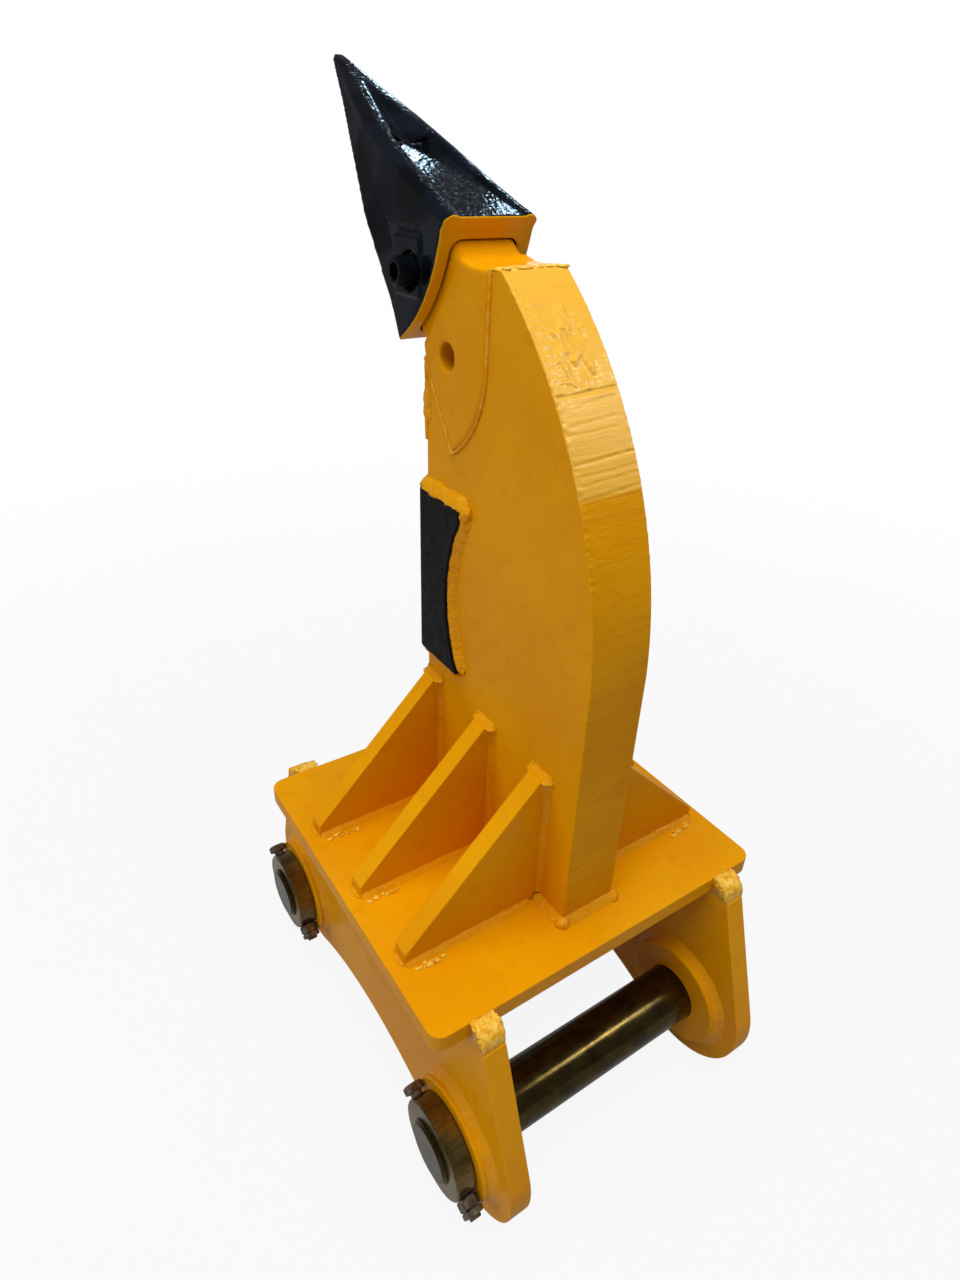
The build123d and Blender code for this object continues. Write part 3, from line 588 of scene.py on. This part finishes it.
def arc_points(a, b, c, step):
    """Points from a to c on the circle through a, b and c."""
    (ax, ay), (bx, by), (cx, cy) = a, b, c
    twice = 2 * (ax * (by - cy) + bx * (cy - ay) + cx * (ay - by))
    aa, bb, cc = ax * ax + ay * ay, bx * bx + by * by, cx * cx + cy * cy
    ux = (aa * (by - cy) + bb * (cy - ay) + cc * (ay - by)) / twice
    uy = (aa * (cx - bx) + bb * (ax - cx) + cc * (bx - ax)) / twice
    radius = math.hypot(ax - ux, ay - uy)
    start = math.atan2(ay - uy, ax - ux)
    middle = (math.atan2(by - uy, bx - ux) - start) % math.tau
    turn = (math.atan2(cy - uy, cx - ux) - start) % math.tau
    if middle > turn:
        turn -= math.tau
    count = max(2, round(abs(turn) * radius / step))
    turns = [start + turn * i / count for i in range(count + 1)]
    return [(ux + radius * math.cos(here), uy + radius * math.sin(here)) for here in turns]


def joined(*runs):
    """Lines laid end to end, each starting where the one before it ends."""
    out = []
    for run in runs:
        out += run if not out else run[1:]
    return out


def side_normals(points, side=1, closed=False):
    """Unit normals of a side-view line, to the left of its direction, or to the right with side -1."""
    out = []
    count = len(points)
    for i in range(count):
        before = points[(i - 1) % count] if closed else points[max(0, i - 1)]
        after = points[(i + 1) % count] if closed else points[min(count - 1, i + 1)]
        dy, dz = after[0] - before[0], after[1] - before[1]
        length = math.hypot(dy, dz)
        out.append((-side * dz / length, side * dy / length))
    return out


def tail_line(step):
    """Edge of the adapter's tail in the shank, from the top round its tip to the front."""
    return joined(
        line_points(TAIL_TOP, TAIL_STRAIGHT_END, step),
        arc_points(TAIL_STRAIGHT_END, TAIL_BEND, TAIL_TIP, step),
        line_points(TAIL_TIP, TAIL_FRONT, step),
    )


# Shank
def window(value, low, high, soft):
    """1 between low and high, falling to 0 over the width soft on both sides."""
    def rise(t):
        t = min(1.0, max(0.0, t))
        return t * t * (3 - 2 * t)
    return rise((value - low) / soft + 0.5) * rise((high - value) / soft + 0.5)


CUT_LINES = (  # height, half width, depth, wander, lean across the edge, from x, to x: all in mm
    (874.0, 1.4, 1.3, 1.0, 1.5, -40, 40),
    (866.0, 1.3, 0.6, 1.6, 3.0, -10, 34),
    (851.0, 1.6, 0.4, 1.2, 2.0, -34, 36),
    (843.0, 1.2, 0.4, 1.0, 1.0, -36, 26),
    (820.0, 1.4, 0.9, 0.8, 2.0, -38, 40),
    (809.0, 1.3, 0.5, 0.8, 1.5, -34, 40),
    (802.0, 1.2, 0.5, 0.8, 1.5, -36, 38),
    (790.0, 1.6, 0.8, 0.7, 2.0, -40, 40),
)


def cut_relief(x, z):
    """How far the flame-cut back edge stands out at a place, in mm: torch lines, gouges and ragged marks."""
    lift = 0.0
    for height, half, depth, wander, lean, start, end in CUT_LINES:
        centre = height + lean * x / 40 + wander * noise.noise(Vector((x * 0.06, height, 0)))
        near = (z - centre) / half
        if abs(near) < 3:
            profile = -depth * math.exp(-near * near) + 0.35 * depth * math.exp(-(near - 1.8) ** 2)
            fade = window(x, start, end, 8)
            lift += profile * fade * (0.65 + 0.7 * noise.noise(Vector((x * 0.11, height, 7))))
    lift -= 0.5 * window(z, 600, 787, 3)
    gouged = window(x, -20, 22, 12) * window(z, 880, 942, 18)
    if gouged > 0:
        swirl = noise.noise(Vector((x * 0.07, z * 0.03, 3)))
        strands = noise.noise(Vector((x * 0.13 + 1.3 * swirl, z * 0.04, 11)))
        rough = 0.5 * noise.noise(Vector((x * 0.13, z * 0.08, 5)))
        lift += gouged * (2.6 * max(0.0, 0.16 - abs(strands)) * 6 - 0.9 + rough)
    chatter = window(x, -38, -14, 10) * window(z, 868, 952, 26)
    if chatter > 0:
        lift += 0.9 * chatter * noise.noise(Vector((x * 0.10 + z * 0.10, z * 0.33 - x * 0.12, 21)))
    ragged = window(x, -43, -35, 4) + 0.5 * window(x, 36, 43, 4)
    if ragged > 0:
        lift += ragged * window(z, 690, 972, 40) * (0.2 + 1.3 * noise.noise(Vector((x * 0.2, z * 0.19, 31))))
    return lift + 0.12 * noise.noise(Vector((x * 0.05, z * 0.6, 43)))


def shank_plate(plate, cut):
    """The shank's plate, its back edge drawn with the marks of the torch."""
    edge = 1.7 * MM
    along, up = CROWN[0] - BEND[0], CROWN[1] - BEND[1]
    radius = (along ** 2 + up ** 2) / (2 * along)
    half_turn = math.asin(up / radius) / 2
    arc_middle = (BEND[0] + radius * (1 - math.cos(half_turn)), BEND[1] + radius * math.sin(half_turn))
    heel, foot = (shank_low.y, shank_low.z), (shank_high.y, shank_low.z)
    back = joined(line_points(heel, BEND, 7 * MM), arc_points(BEND, arc_middle, CROWN, 1.25 * MM))
    crown = line_points(CROWN, TAIL_TOP, 1.6 * MM)[1:]
    tail = tail_line(4 * MM)
    tail = [(y + ny * -0.3 * MM, z + nz * -0.3 * MM)
            for (y, z), (ny, nz) in zip(tail, side_normals(tail))]
    rest = tail[1:] + line_points(TAIL_FRONT, foot, 12 * MM)[1:] + line_points(foot, heel, 12 * MM)[1:-1]
    outline = back + crown + rest
    normals = side_normals(outline, closed=True)
    inner = SHANK_HALF - edge
    turns = [math.pi / 2 * i / 4 for i in range(5)]
    rounded = [(inner + edge * math.cos(turn), edge * (1 - math.sin(turn))) for turn in turns]
    steps = 34
    flat = [(inner - 2 * inner * i / steps, 0.0) for i in range(1, steps)]
    spans = rounded + flat + [(-x, inset) for x, inset in reversed(rounded)]
    vertices, faces, indices = [], [], []
    for k, ((y, z), (ny, nz)) in enumerate(zip(outline, normals)):
        carved = k < len(back)
        for x, inset in spans:
            lift = -inset
            if carved and z > BEND[1]:
                lift += cut_relief(x / MM, z / MM) * MM * min(1.0, (z - BEND[1]) / (60 * MM))
            vertices.append((x, y + ny * lift, z + nz * lift))
    rows, count = len(spans), len(outline)
    for k in range(count):
        here, there = k * rows, (k + 1) % count * rows
        for j in range(rows - 1):
            faces.append((here + j, here + j + 1, there + j + 1, there + j))
            indices.append(int(k < len(back) - 1))
    for triangle in tessellate_polygon([[Vector((y, z, 0)) for y, z in outline]]):
        faces.append(tuple(k * rows for k in triangle))
        faces.append(tuple(k * rows + rows - 1 for k in triangle))
        indices += [0, 0]
    obj = new_piece("shank_plate", vertices, faces, plate)
    obj.data.materials.append(cut)
    obj.data.polygons.foreach_set("material_index", indices)
    tidy_normals(obj)
    modifier(obj, "shading", "WEIGHTED_NORMAL", keep_sharp=True)
    apply_modifiers(obj)
    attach(obj, "frame")
    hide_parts("shank")


# Beads of the adapter and the guard
def adapter_seams(material, plain, shiny):
    """Side seams round the adapter's tail, the built-up front edge and the run on the top step."""
    beads, front, step = Bead(31), Bead(33), Bead(34)
    line = tail_line(1.0 * MM)
    away = side_normals(line, -1)
    across = [Vector((0, ny, nz)) for ny, nz in away]
    for side in (-1, 1):
        points = [Vector((side * (SHANK_HALF + 1.2 * MM), y + ny * 1.8 * MM, z + nz * 1.8 * MM))
                  for (y, z), (ny, nz) in zip(line, away)]
        beads.cap(points, across, [X * side] * len(points), 5.2 * MM, 1.7 * MM,
                  pitch=4.4 * MM, ripple=0.08, sunk=1.2 * MM, rounded=False)
    top = TAIL_FRONT[1]

    def front_stand(z):
        """The front edge's metal is thickest part of the way down."""
        return 5.5 * MM + 5.5 * MM * math.exp(-((z - top + 56 * MM) / (16 * MM)) ** 2)

    front.pad(Vector((0, shank_high.y, 0)), 42.5 * MM, top - 94 * MM, top + 2 * MM, front_stand)
    for side in (-1, 1):
        for lift, radii in ((-48, (3.6, 8, 15)), (-62, (3.0, 9, 12)), (-33, (2.4, 5, 12))):
            front.blob((side * (SHANK_HALF - 0.5 * MM), shank_high.y - 1 * MM, top + lift * MM),
                       mm(*radii), rough=0.14)
    front.piece("front_edge_bead", plain, [])
    step_y = (CROWN[0] + TAIL_TOP[0]) / 2
    for shift, width, high in ((-4 * MM, 11 * MM, 1.0 * MM), (3 * MM, 13 * MM, 1.4 * MM)):
        points = row_points(38 * MM, step_y + shift, shank_high.z, 0.9 * MM)
        step.cap(points, [Y] * len(points), [Z] * len(points), width, high,
                 pitch=7 * MM, ripple=0.1, across=10, reach=6 * MM)
    for _ in range(40):
        share = step.random.random()
        y = step_y + step.random.uniform(-9, 6) * MM
        place = ((-38 + 75 * share) * MM, y, shank_high.z + 0.8 * MM)
        size = step.random.uniform(1.2, 2.2 + 1.2 * share) * MM
        step.blob(place, (size * 2.2, size * 1.2, size * 0.6), rough=0.5, segments=14, rings=9)
    step.piece("top_step_beads", shiny, [])
    beads.piece("adapter_seams", material, ["adapter_weld"])


def guard_beads(material):
    """Welds round the guard: over its top flange, behind its waist and under it."""
    beads = Bead(32)
    low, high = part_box("shank_guard")
    flange = high.x - SHANK_HALF
    waist = (low.y + 28 * MM, (low.z + high.z) / 2)
    lip = (low.y, high.z - 15 * MM)
    rear = joined(
        arc_points((low.y, low.z), waist, lip, 1.0 * MM),
        line_points(lip, (low.y, high.z - 2 * MM), 1.0 * MM),
    )
    away = [Vector((0, ny, nz)) for ny, nz in side_normals(rear)]
    front_y = shank_high.y
    for side in (-1, 1):
        x = side * SHANK_HALF
        points = [Vector((x, y, z)) for y, z in rear]
        proud = side * (SHANK_HALF + 3 * MM)
        beads.corner(points, away, [X * side] * len(points), 11.5 * MM, 9.0 * MM,
                     bulge=0.1, ripple=0.05, pitch=5 * MM)
        beads.straight((x, low.y - 5 * MM, high.z), (x, front_y + 3 * MM, high.z),
                       Z, X * side, 15 * MM, flange, bulge=0.22, ripple=0.04, pitch=9 * MM, across=11)
        beads.blob((proud, low.y - 2 * MM, high.z - 4 * MM), mm(7.5, 9.5, 11), rough=0.3)
        beads.straight((x, low.y + 2 * MM, low.z), (x, front_y, low.z),
                       -Z, X * side, 10 * MM, flange * 0.85)
        for _ in range(10):
            share = beads.random.uniform(0.02, 0.3)
            y, z = rear[int(share * len(rear))]
            beads.blob((proud, y - 5 * MM, z), mm(2.4, 2.6, 3.4), rough=0.5, segments=12, rings=8)
    for reach, half in ((4, 46), (13, 38), (22, 28), (31, 17)):
        points = row_points(half * MM, front_y + reach * MM, high.z, 1.0 * MM)
        beads.cap(points, [Y] * len(points), [Z] * len(points), 17 * MM, (8.5 - 0.12 * reach) * MM,
                  ripple=0.04, pitch=9 * MM, reach=6 * MM)
    beads.piece("guard_beads", material, ["guard_weld"])


# Bolts and nuts
BOLT_TURNS = {"stick": 35.0, "link": 19.5}
BOLT_RADIUS = 8 * MM
BOLT_FLATS = 24 * MM
HEAD_LIFT = 5.5 * MM
HEAD_HEIGHT = 10 * MM
NUT_LIFT = 0.2 * MM
NUT_HEIGHT = 13 * MM
NUT_PITCH = 13.2 * MM
LOCK_NUT_HEIGHT = 8 * MM
TIP_REACH = 12 * MM
THREAD_SINK = 4 * MM


def hex_radius(turn):
    """Radius of the bolts' hexagon at a turn."""
    return BOLT_FLATS / 2 / math.cos((turn % (math.pi / 3)) - math.pi / 6)


class Fastener:
    """Bolts and nuts as one mesh, with chamfered hexagons and cut threads."""

    def __init__(self, axes):
        self.axes = axes
        self.vertices = []
        self.faces = []

    def point(self, place, turn, radius, distance):
        one, two, along = self.axes
        ray = one * math.cos(turn) + two * math.sin(turn)
        self.vertices.append(place + along * distance + ray * radius)

    def hexagon(self, place, start, height, chamfered_start=True):
        """A head or nut from start on, chamfered at its end and, if asked, at its start."""
        segments = 72
        face = BOLT_FLATS / 2 * 0.94
        slope = math.tan(math.radians(30))
        base = len(self.vertices)
        shares = (0.0, 0.35, 0.7, 1.0)
        levels = [(start, int(chamfered_start), share) for share in shares]
        levels += [(start + height, -1, share) for share in reversed(shares)]
        for level, way, share in levels:
            for k in range(segments):
                turn = math.tau * k / segments
                radius = face + (hex_radius(turn) - face) * share
                self.point(place, turn, radius, level + way * (radius - face) * slope)
        self.rings(base, len(levels), segments)

    def rings(self, base, count, segments):
        """Faces between rings of vertices, and the two ends."""
        for r in range(count - 1):
            for k in range(segments):
                n = (k + 1) % segments
                a, b = base + r * segments, base + (r + 1) * segments
                self.faces.append((a + k, a + n, b + n, b + k))
        self.faces.append(tuple(range(base, base + segments))[::-1])
        last = base + (count - 1) * segments
        self.faces.append(tuple(range(last, last + segments)))

    def shaft(self, place, start, end, thread_from):
        """A rod from start down to end, threaded from a distance on, its tip chamfered."""
        pitch, segments = 2.0 * MM, 32
        base = len(self.vertices)
        step = pitch / 5
        count = int((thread_from - end) / step)
        levels = [start, thread_from] + [thread_from - step * (i + 1) for i in range(count - 1)] + [end]
        for level in levels:
            for k in range(segments):
                turn = math.tau * k / segments
                here = BOLT_RADIUS
                if level < thread_from - step:
                    wave = ((thread_from - level) / pitch + k / segments) % 1.0
                    here -= 0.5 * pitch * abs(wave - 0.5)
                here = min(here, BOLT_RADIUS - 1.4 * MM + (level - end))
                self.point(place, turn, here, level)
        self.rings(base, len(levels), segments)

    def piece(self, name, material, body, replaced):
        obj = new_piece(name, self.vertices, self.faces, material)
        tidy_normals(obj)
        obj.data.set_sharp_from_angle(angle=math.radians(32))
        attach(obj, body)
        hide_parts(replaced)


def collar_bolts(material):
    """The bolt, nut and lock nut of each collar, along a line across the pin."""
    for pin, angle in BOLT_TURNS.items():
        turn = math.radians(angle)
        along = Vector((0, math.cos(turn), math.sin(turn)))
        axes = (X, along.cross(X), along)
        bolts, nuts = Fastener(axes), Fastener(axes)
        for side in ("left", "right"):
            low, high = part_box(f"{pin}_collar_{side}")
            place = (low + high) / 2
            radius = (high.z - low.z) / 2
            head = radius + HEAD_LIFT
            nut = radius + NUT_LIFT
            lock = nut + NUT_PITCH
            bolts.hexagon(place, head, HEAD_HEIGHT, chamfered_start=False)
            bolts.shaft(place, head + 1 * MM, -lock - TIP_REACH, THREAD_SINK - nut)
            nuts.hexagon(place, -nut - NUT_HEIGHT, NUT_HEIGHT)
            nuts.hexagon(place, -lock - LOCK_NUT_HEIGHT, LOCK_NUT_HEIGHT)
        bolts.piece(f"{pin}_bolts_threaded", material, f"{pin}_pin_set", f"{pin}_bolts")
        nuts.piece(f"{pin}_nuts_chamfered", material, f"{pin}_pin_set", f"{pin}_nuts")


# Beads of the rings, ears and foot
def ring_beads(material):
    """A fillet run round each ring, in the corner between it and its ear."""
    beads = Bead(11)
    count = 400
    for side, face, pin in itertools.product(("left", "right"), ("outer", "inner"), ("stick", "link")):
        low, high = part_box(f"{pin}_ring_{side}_{face}")
        centre = (low + high) / 2
        radius = (high.y - low.y) / 2
        ear_low, ear_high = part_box(f"ear_plate_{side}")
        outward = 1.0 if centre.x > (ear_low.x + ear_high.x) / 2 else -1.0
        seat = Vector((low.x if outward > 0 else high.x, centre.y, centre.z))
        turns = [2 * math.pi * i / count for i in range(count)]
        rays = [Vector((0, math.cos(turn), math.sin(turn))) for turn in turns]
        beads.corner([seat + ray * radius for ray in rays], rays, [X * outward] * count, 12.0 * MM, 12.0 * MM,
                     closed=True, bulge=-0.12, ripple=0.02)
    beads.piece("ring_weld_beads", material, ["ring_welds"])


def ear_beads(material, shiny):
    """Fillet runs along both faces of each ear, under the base plate, and the metal over its ends."""
    beads, ends = Bead(12), Bead(14)
    plate_low, plate_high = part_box("base_plate")
    for side in ("left", "right"):
        low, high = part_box(f"ear_plate_{side}")
        for face_x, outward in ((low.x, -1), (high.x, 1)):
            beads.straight(
                (face_x, plate_low.y + 7 * MM, plate_low.z),
                (face_x, plate_high.y - 7 * MM, plate_low.z),
                X * outward, -Z, 9.5 * MM, 9.5 * MM,
            )
        for end_y, outward in ((plate_low.y, -1), (plate_high.y, 1)):
            end_block(ends, low.x, high.x, end_y, outward, plate_low.z, plate_high.z)
    beads.piece("ear_weld_beads", material, ["ear_welds"])
    ends.piece("ear_end_beads", shiny, [])


def end_block(beads, low_x, high_x, end_y, outward, low_z, high_z):
    """Weld metal that fills the corner over the end of an ear, up to the plate's top, with ragged rims."""
    count = 40
    width, rise = high_x - low_x, high_z - low_z
    points = [Vector((low_x + width * i / (count - 1), end_y, low_z)) for i in range(count)]
    beads.corner(points, [Y * outward] * count, [Z] * count, 27 * MM, rise,
                 bulge=0.46, ripple=0.015, pitch=9 * MM, across=21, rounded=False, wander=0.25)
    for _ in range(30):
        share = beads.random.random()
        rim = beads.random.choice((low_x, high_x, low_x + beads.random.random() * width))
        turn = math.pi / 2 * (0.25 + 0.75 * share)
        spot = (rim, end_y + outward * 21 * MM * math.cos(turn) ** 0.7, low_z + rise * math.sin(turn) ** 0.7)
        size = beads.random.uniform(1.2, 2.8) * MM
        beads.blob(spot, (size, size * 1.5, size), rough=0.5, segments=14, rings=9)


def shank_foot_beads(material):
    """Fillet runs round the shank's foot, with a lump at each corner."""
    beads = Bead(13)
    _, plate_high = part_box("base_plate")
    low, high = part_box("shank")
    foot_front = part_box("shank_weld")[1].y - 12 * MM
    half, z, leg = high.x, plate_high.z, 10.5 * MM
    shape = {"bulge": 0.05, "ripple": 0.05, "rounded": False}
    for side in (-1, 1):
        beads.straight((side * half, low.y, z), (side * half, foot_front, z), X * side, Z, leg, leg, **shape)
    for end_y, outward in ((low.y, -1), (foot_front, 1)):
        beads.straight((-half, end_y, z), (half, end_y, z), Y * outward, Z, leg, leg, **shape)
        for side in (-1, 1):
            spot = (side * (half + 1 * MM), end_y + outward * 1 * MM, z + 1 * MM)
            beads.blob(spot, mm(9.5, 9.5, 9.5), rough=0.15)
    beads.piece("shank_foot_beads", material, ["shank_weld"])


# Beads of the gussets
GUSSET_LEG = 7.6 * MM


def flared_run(beads, side, inner, face_y, outward, low_z, top_z):
    """The upright fillet between a gusset and the shank, which widens and leans into the gusset's top."""
    leg, flare, reach, slope = GUSSET_LEG, 4.2 * MM, 34 * MM, 1.06
    count = int((top_z - low_z) / (0.9 * MM))
    points, spans = [], []
    for i in range(count):
        z = low_z + (top_z - low_z) * i / (count - 1)
        near = max(0.0, 1 - (top_z - z) / reach)
        ease = near * near * (3 - 2 * near)
        along, up = leg + 1.5 * flare * ease, leg + flare * ease
        drop = slope * max(0.0, along - 9 * MM) * ease
        point = Vector((side * inner, face_y, z))
        points.append(point)
        spans.append((point + Vector((side * along, -outward * 1.2 * MM, -drop)),
                      point + Vector((-side * 1.2 * MM, outward * up, 3 * MM * ease)),
                      (X * side + Y * outward).normalized(),
                      point - Vector((side, outward, 0)) * 1.2 * MM, leg))
    beads.sweep(points, spans, False, 5 * MM, 9, -0.12, 0.02)


def gusset_beads(material, shiny):
    """All runs round the gussets, and the rough metal on the plate beside their feet."""
    ragged = Bead(24)
    for side_name, side in (("left", -1), ("right", 1)):
        beads = Bead(20 + side)
        for row in ("rear", "middle", "front"):
            low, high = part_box(f"gusset_{side_name}_{row}")
            gusset_runs(beads, side, low, high)
            ragged_foot(ragged, side, low, high)
        beads.piece(f"gusset_beads_{side_name}", material, [f"gusset_welds_{side_name}"])
    ragged.piece("gusset_foot_beads", shiny, [])


def gusset_runs(beads, side, low, high):
    """Runs along a gusset's foot and up the shank, over its top and round its toe."""
    inner = min(abs(low.x), abs(high.x))
    outer = max(abs(low.x), abs(high.x))
    middle = (low.y + high.y) / 2
    for face_y, outward in ((low.y, -1), (high.y, 1)):
        beads.straight((side * (inner + 14 * MM), face_y, low.z), (side * outer, face_y, low.z),
                       Y * outward, Z, GUSSET_LEG, GUSSET_LEG, bulge=0.05, ripple=0.05)
        flared_run(beads, side, inner, face_y, outward, low.z + 12 * MM, high.z + 0.5 * MM)
    top_z = high.z - 0.5 * MM
    beads.straight((side * inner, low.y - 10 * MM, top_z), (side * inner, high.y + 10 * MM, top_z),
                   X * side, Z, 12.5 * MM, 5.5 * MM, bulge=-0.1, ripple=0.05, pitch=6 * MM)
    for end in (-1, 1):
        spot = (side * (inner + 1 * MM), middle + end * 17.5 * MM, high.z + 1 * MM)
        beads.blob(spot, mm(3.0, 3.6, 4.2), rough=0.3)
    beads.blob((side * (outer + 1 * MM), middle, low.z + 0.5 * MM), mm(4.5, 12.5, 2.4), rough=0.15)


def ragged_foot(ragged, side, low, high):
    """Small lumps along the rear of a gusset's foot, towards its toe."""
    outer = max(abs(low.x), abs(high.x))
    for _ in range(22):
        share = ragged.random.random()
        away = 9 + 5 * share + ragged.random.uniform(-3.5, 3.5)
        spot = (side * (outer - (4 + 48 * share) * MM), low.y - away * MM, low.z + 0.6 * MM)
        size = ragged.random.uniform(0.9, 2.2) * MM
        ragged.blob(spot, (size * 1.9, size * 1.1, size * 0.9), rough=0.6, segments=12, rings=8)


# The whole object
def dress_nodes(looks):
    """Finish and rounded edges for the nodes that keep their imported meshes."""
    plates = ["base_plate", "ear_plate_left", "ear_plate_right"]
    plates += [name for name in nodes if name.startswith("gusset_") and "welds" not in name]
    plates += [name for name in nodes if "_ring_" in name]
    collars = ["stick_collar_left", "stick_collar_right", "link_collar_left", "link_collar_right"]
    groups = (
        (plates, "plate", "yellow_paint", 1.6 * MM, 3),
        (("stick_pin", "link_pin"), "pin", "olive_steel", 0.8 * MM, 3),
        (collars, "collar", "olive_steel", 0.8 * MM, 3),
        (("tooth_pin", "tooth_pin_retainer"), "tooth_pin", "black_forging", 0.7 * MM, 2),
    )
    for names, look, slot, width, segments in groups:
        for name in names:
            shade(nodes[name], looks[look])
            soften(nodes[name], width, segments)


def make_object():
    looks = make_materials()
    ring_beads(looks["bead"])
    ear_beads(looks["bead"], looks["spatter"])
    shank_foot_beads(looks["bead"])
    gusset_beads(looks["bead"], looks["spatter"])
    adapter_seams(looks["seam"], looks["bead"], looks["spatter"])
    guard_beads(looks["bead"])
    shank_plate(looks["plate"], looks["cut"])
    collar_bolts(looks["bolt"])
    cast_copy("tooth_point", "tooth_point_cast", 1.7 * MM, 6, looks["tooth"])
    cast_copy("shank_guard", "shank_guard_cast", 2.0 * MM, 3, looks["guard"])
    cast_copy("nose_adapter", "nose_adapter_cast", 1.8 * MM, 4, looks["casting"])
    dress_nodes(looks)


# Floor and light
WHITE = (1.0, 1.0, 1.0)
WARM_WHITE = (1.0, 1.0, 0.8)
COLD_BLUE = (0.52, 0.78, 1.0)
PALE_BLUE = (0.8, 0.92, 1.0)


def ray_share(tree, others, glossy):
    """1 for camera rays, one value for glossy and transmission rays and another for all other rays."""
    path = tree.nodes.new("ShaderNodeLightPath")
    share = others
    for kind, value in (("Glossy", glossy), ("Transmission", glossy), ("Camera", 1.0)):
        inputs = {0: path.outputs[f"Is {kind} Ray"], 2: share, 3: value}
        share = add_node(tree, "ShaderNodeMix", inputs).outputs[0]
    return share


def make_stage():
    """A pale matt floor, which glows a little more towards the horizon for the camera."""
    floor_z = cad_low.z
    s = Shader("floor")
    pale = s.mix(s.ramp(s.noise(1.2, 2.0), 0.3, 0.7), (0.52, 0.52, 0.52, 1), (0.56, 0.56, 0.56, 1))
    s.set(Base_Color=s.mix(ray_share(s.tree, 1.0, FLOOR_GLOSSY), (0, 0, 0, 1), pale))
    s.set(Roughness=0.9, Specular_IOR_Level=0.1)
    glow = s.node("ShaderNodeEmission", {"Strength": 1.0})
    far = s.node("ShaderNodeVectorMath", {0: s.place}, operation="LENGTH")
    share = s.ramp(far.outputs["Value"], 0.7, 3.0, FLOOR_GLOW, 1.0)
    share = s.math("MULTIPLY", share, ray_share(s.tree, 0.0, FLOOR_GLOSSY))
    both = s.node("ShaderNodeMixShader", {0: share, 1: s.bsdf.outputs[0], 2: glow.outputs[0]})
    feed(s.tree, s.tree.nodes["Material Output"].inputs["Surface"], both.outputs[0])
    size = 30.0
    corners = [(x * size, y * size, floor_z) for x, y in ((-1, -1), (1, -1), (1, 1), (-1, 1))]
    mesh = bpy.data.meshes.new("floor")
    mesh.from_pydata(corners, [], [(0, 1, 2, 3)])
    mesh.materials.append(s.material)
    floor = add_object("floor", mesh)


def make_world():
    world = bpy.data.worlds.new("studio")
    bpy.context.scene.world = world
    world.use_nodes = True
    tree = world.node_tree
    background = tree.nodes["Background"]
    tree.links.new(ray_share(tree, WORLD_DIFFUSE, WORLD_GLOSSY), background.inputs["Strength"])
    background.inputs["Color"].default_value = (1, 1, 1, 1)


def area_light(name, place, target, size, radiance, glint=None):
    """A lamp of a given radiance: soft light alone or, with the colour of a glint, its mirror image alone."""
    data = bpy.data.lights.new(name, "AREA")
    data.shape = "RECTANGLE"
    data.size, data.size_y = size
    data.energy = radiance * math.pi * size[0] * size[1]
    data.color = glint or WHITE
    lamp = add_object(name, data)
    lamp.location = place
    lamp.rotation_mode = "QUATERNION"
    lamp.rotation_quaternion = (Vector(target) - Vector(place)).to_track_quat("-Z", "Y")
    lamp.visible_glossy = glint is not None
    lamp.visible_diffuse = glint is None


def make_lamps():
    """Soft light from above and the left, and smaller lamps that show only as glints."""
    area_light("overhead", (-0.2, -0.4, 3.4), (0.0, -0.1, 0.3), (2.6, 2.6), 4.3)
    area_light("left", (-3.0, 0.5, 1.6), (0.0, 0.0, 0.5), (2.0, 2.0), 1.8)
    area_light("window", (2.1, -1.1, 2.1), (0.0, 0.0, 0.8), (1.5, 1.2), 2.6, WHITE)
    area_light("strip", (1.25, -1.35, 2.55), (0.0, -0.24, 0.0), (0.5, 0.2), 34.0, WARM_WHITE)
    area_light("pocket_far", (1.13, 1.88, 2.37), (0.0, 0.22, 1.07), (0.16, 0.16), 36.0, COLD_BLUE)
    area_light("pocket_near", (1.43, 1.52, 2.33), (0.0, 0.07, 1.01), (0.1, 0.1), 30.0, COLD_BLUE)
    area_light("tip", (1.06, 0.81, 3.12), (0.0, 0.35, 1.25), (0.16, 0.16), 60.0, COLD_BLUE)
    area_light("edge", (1.5, 1.9, 1.35), (0.0, 0.2, 1.0), (0.4, 0.4), 3.0, PALE_BLUE)


make_camera()
make_object()
make_stage()
make_world()
make_lamps()

bpy.context.scene.view_settings.view_transform = "Standard"
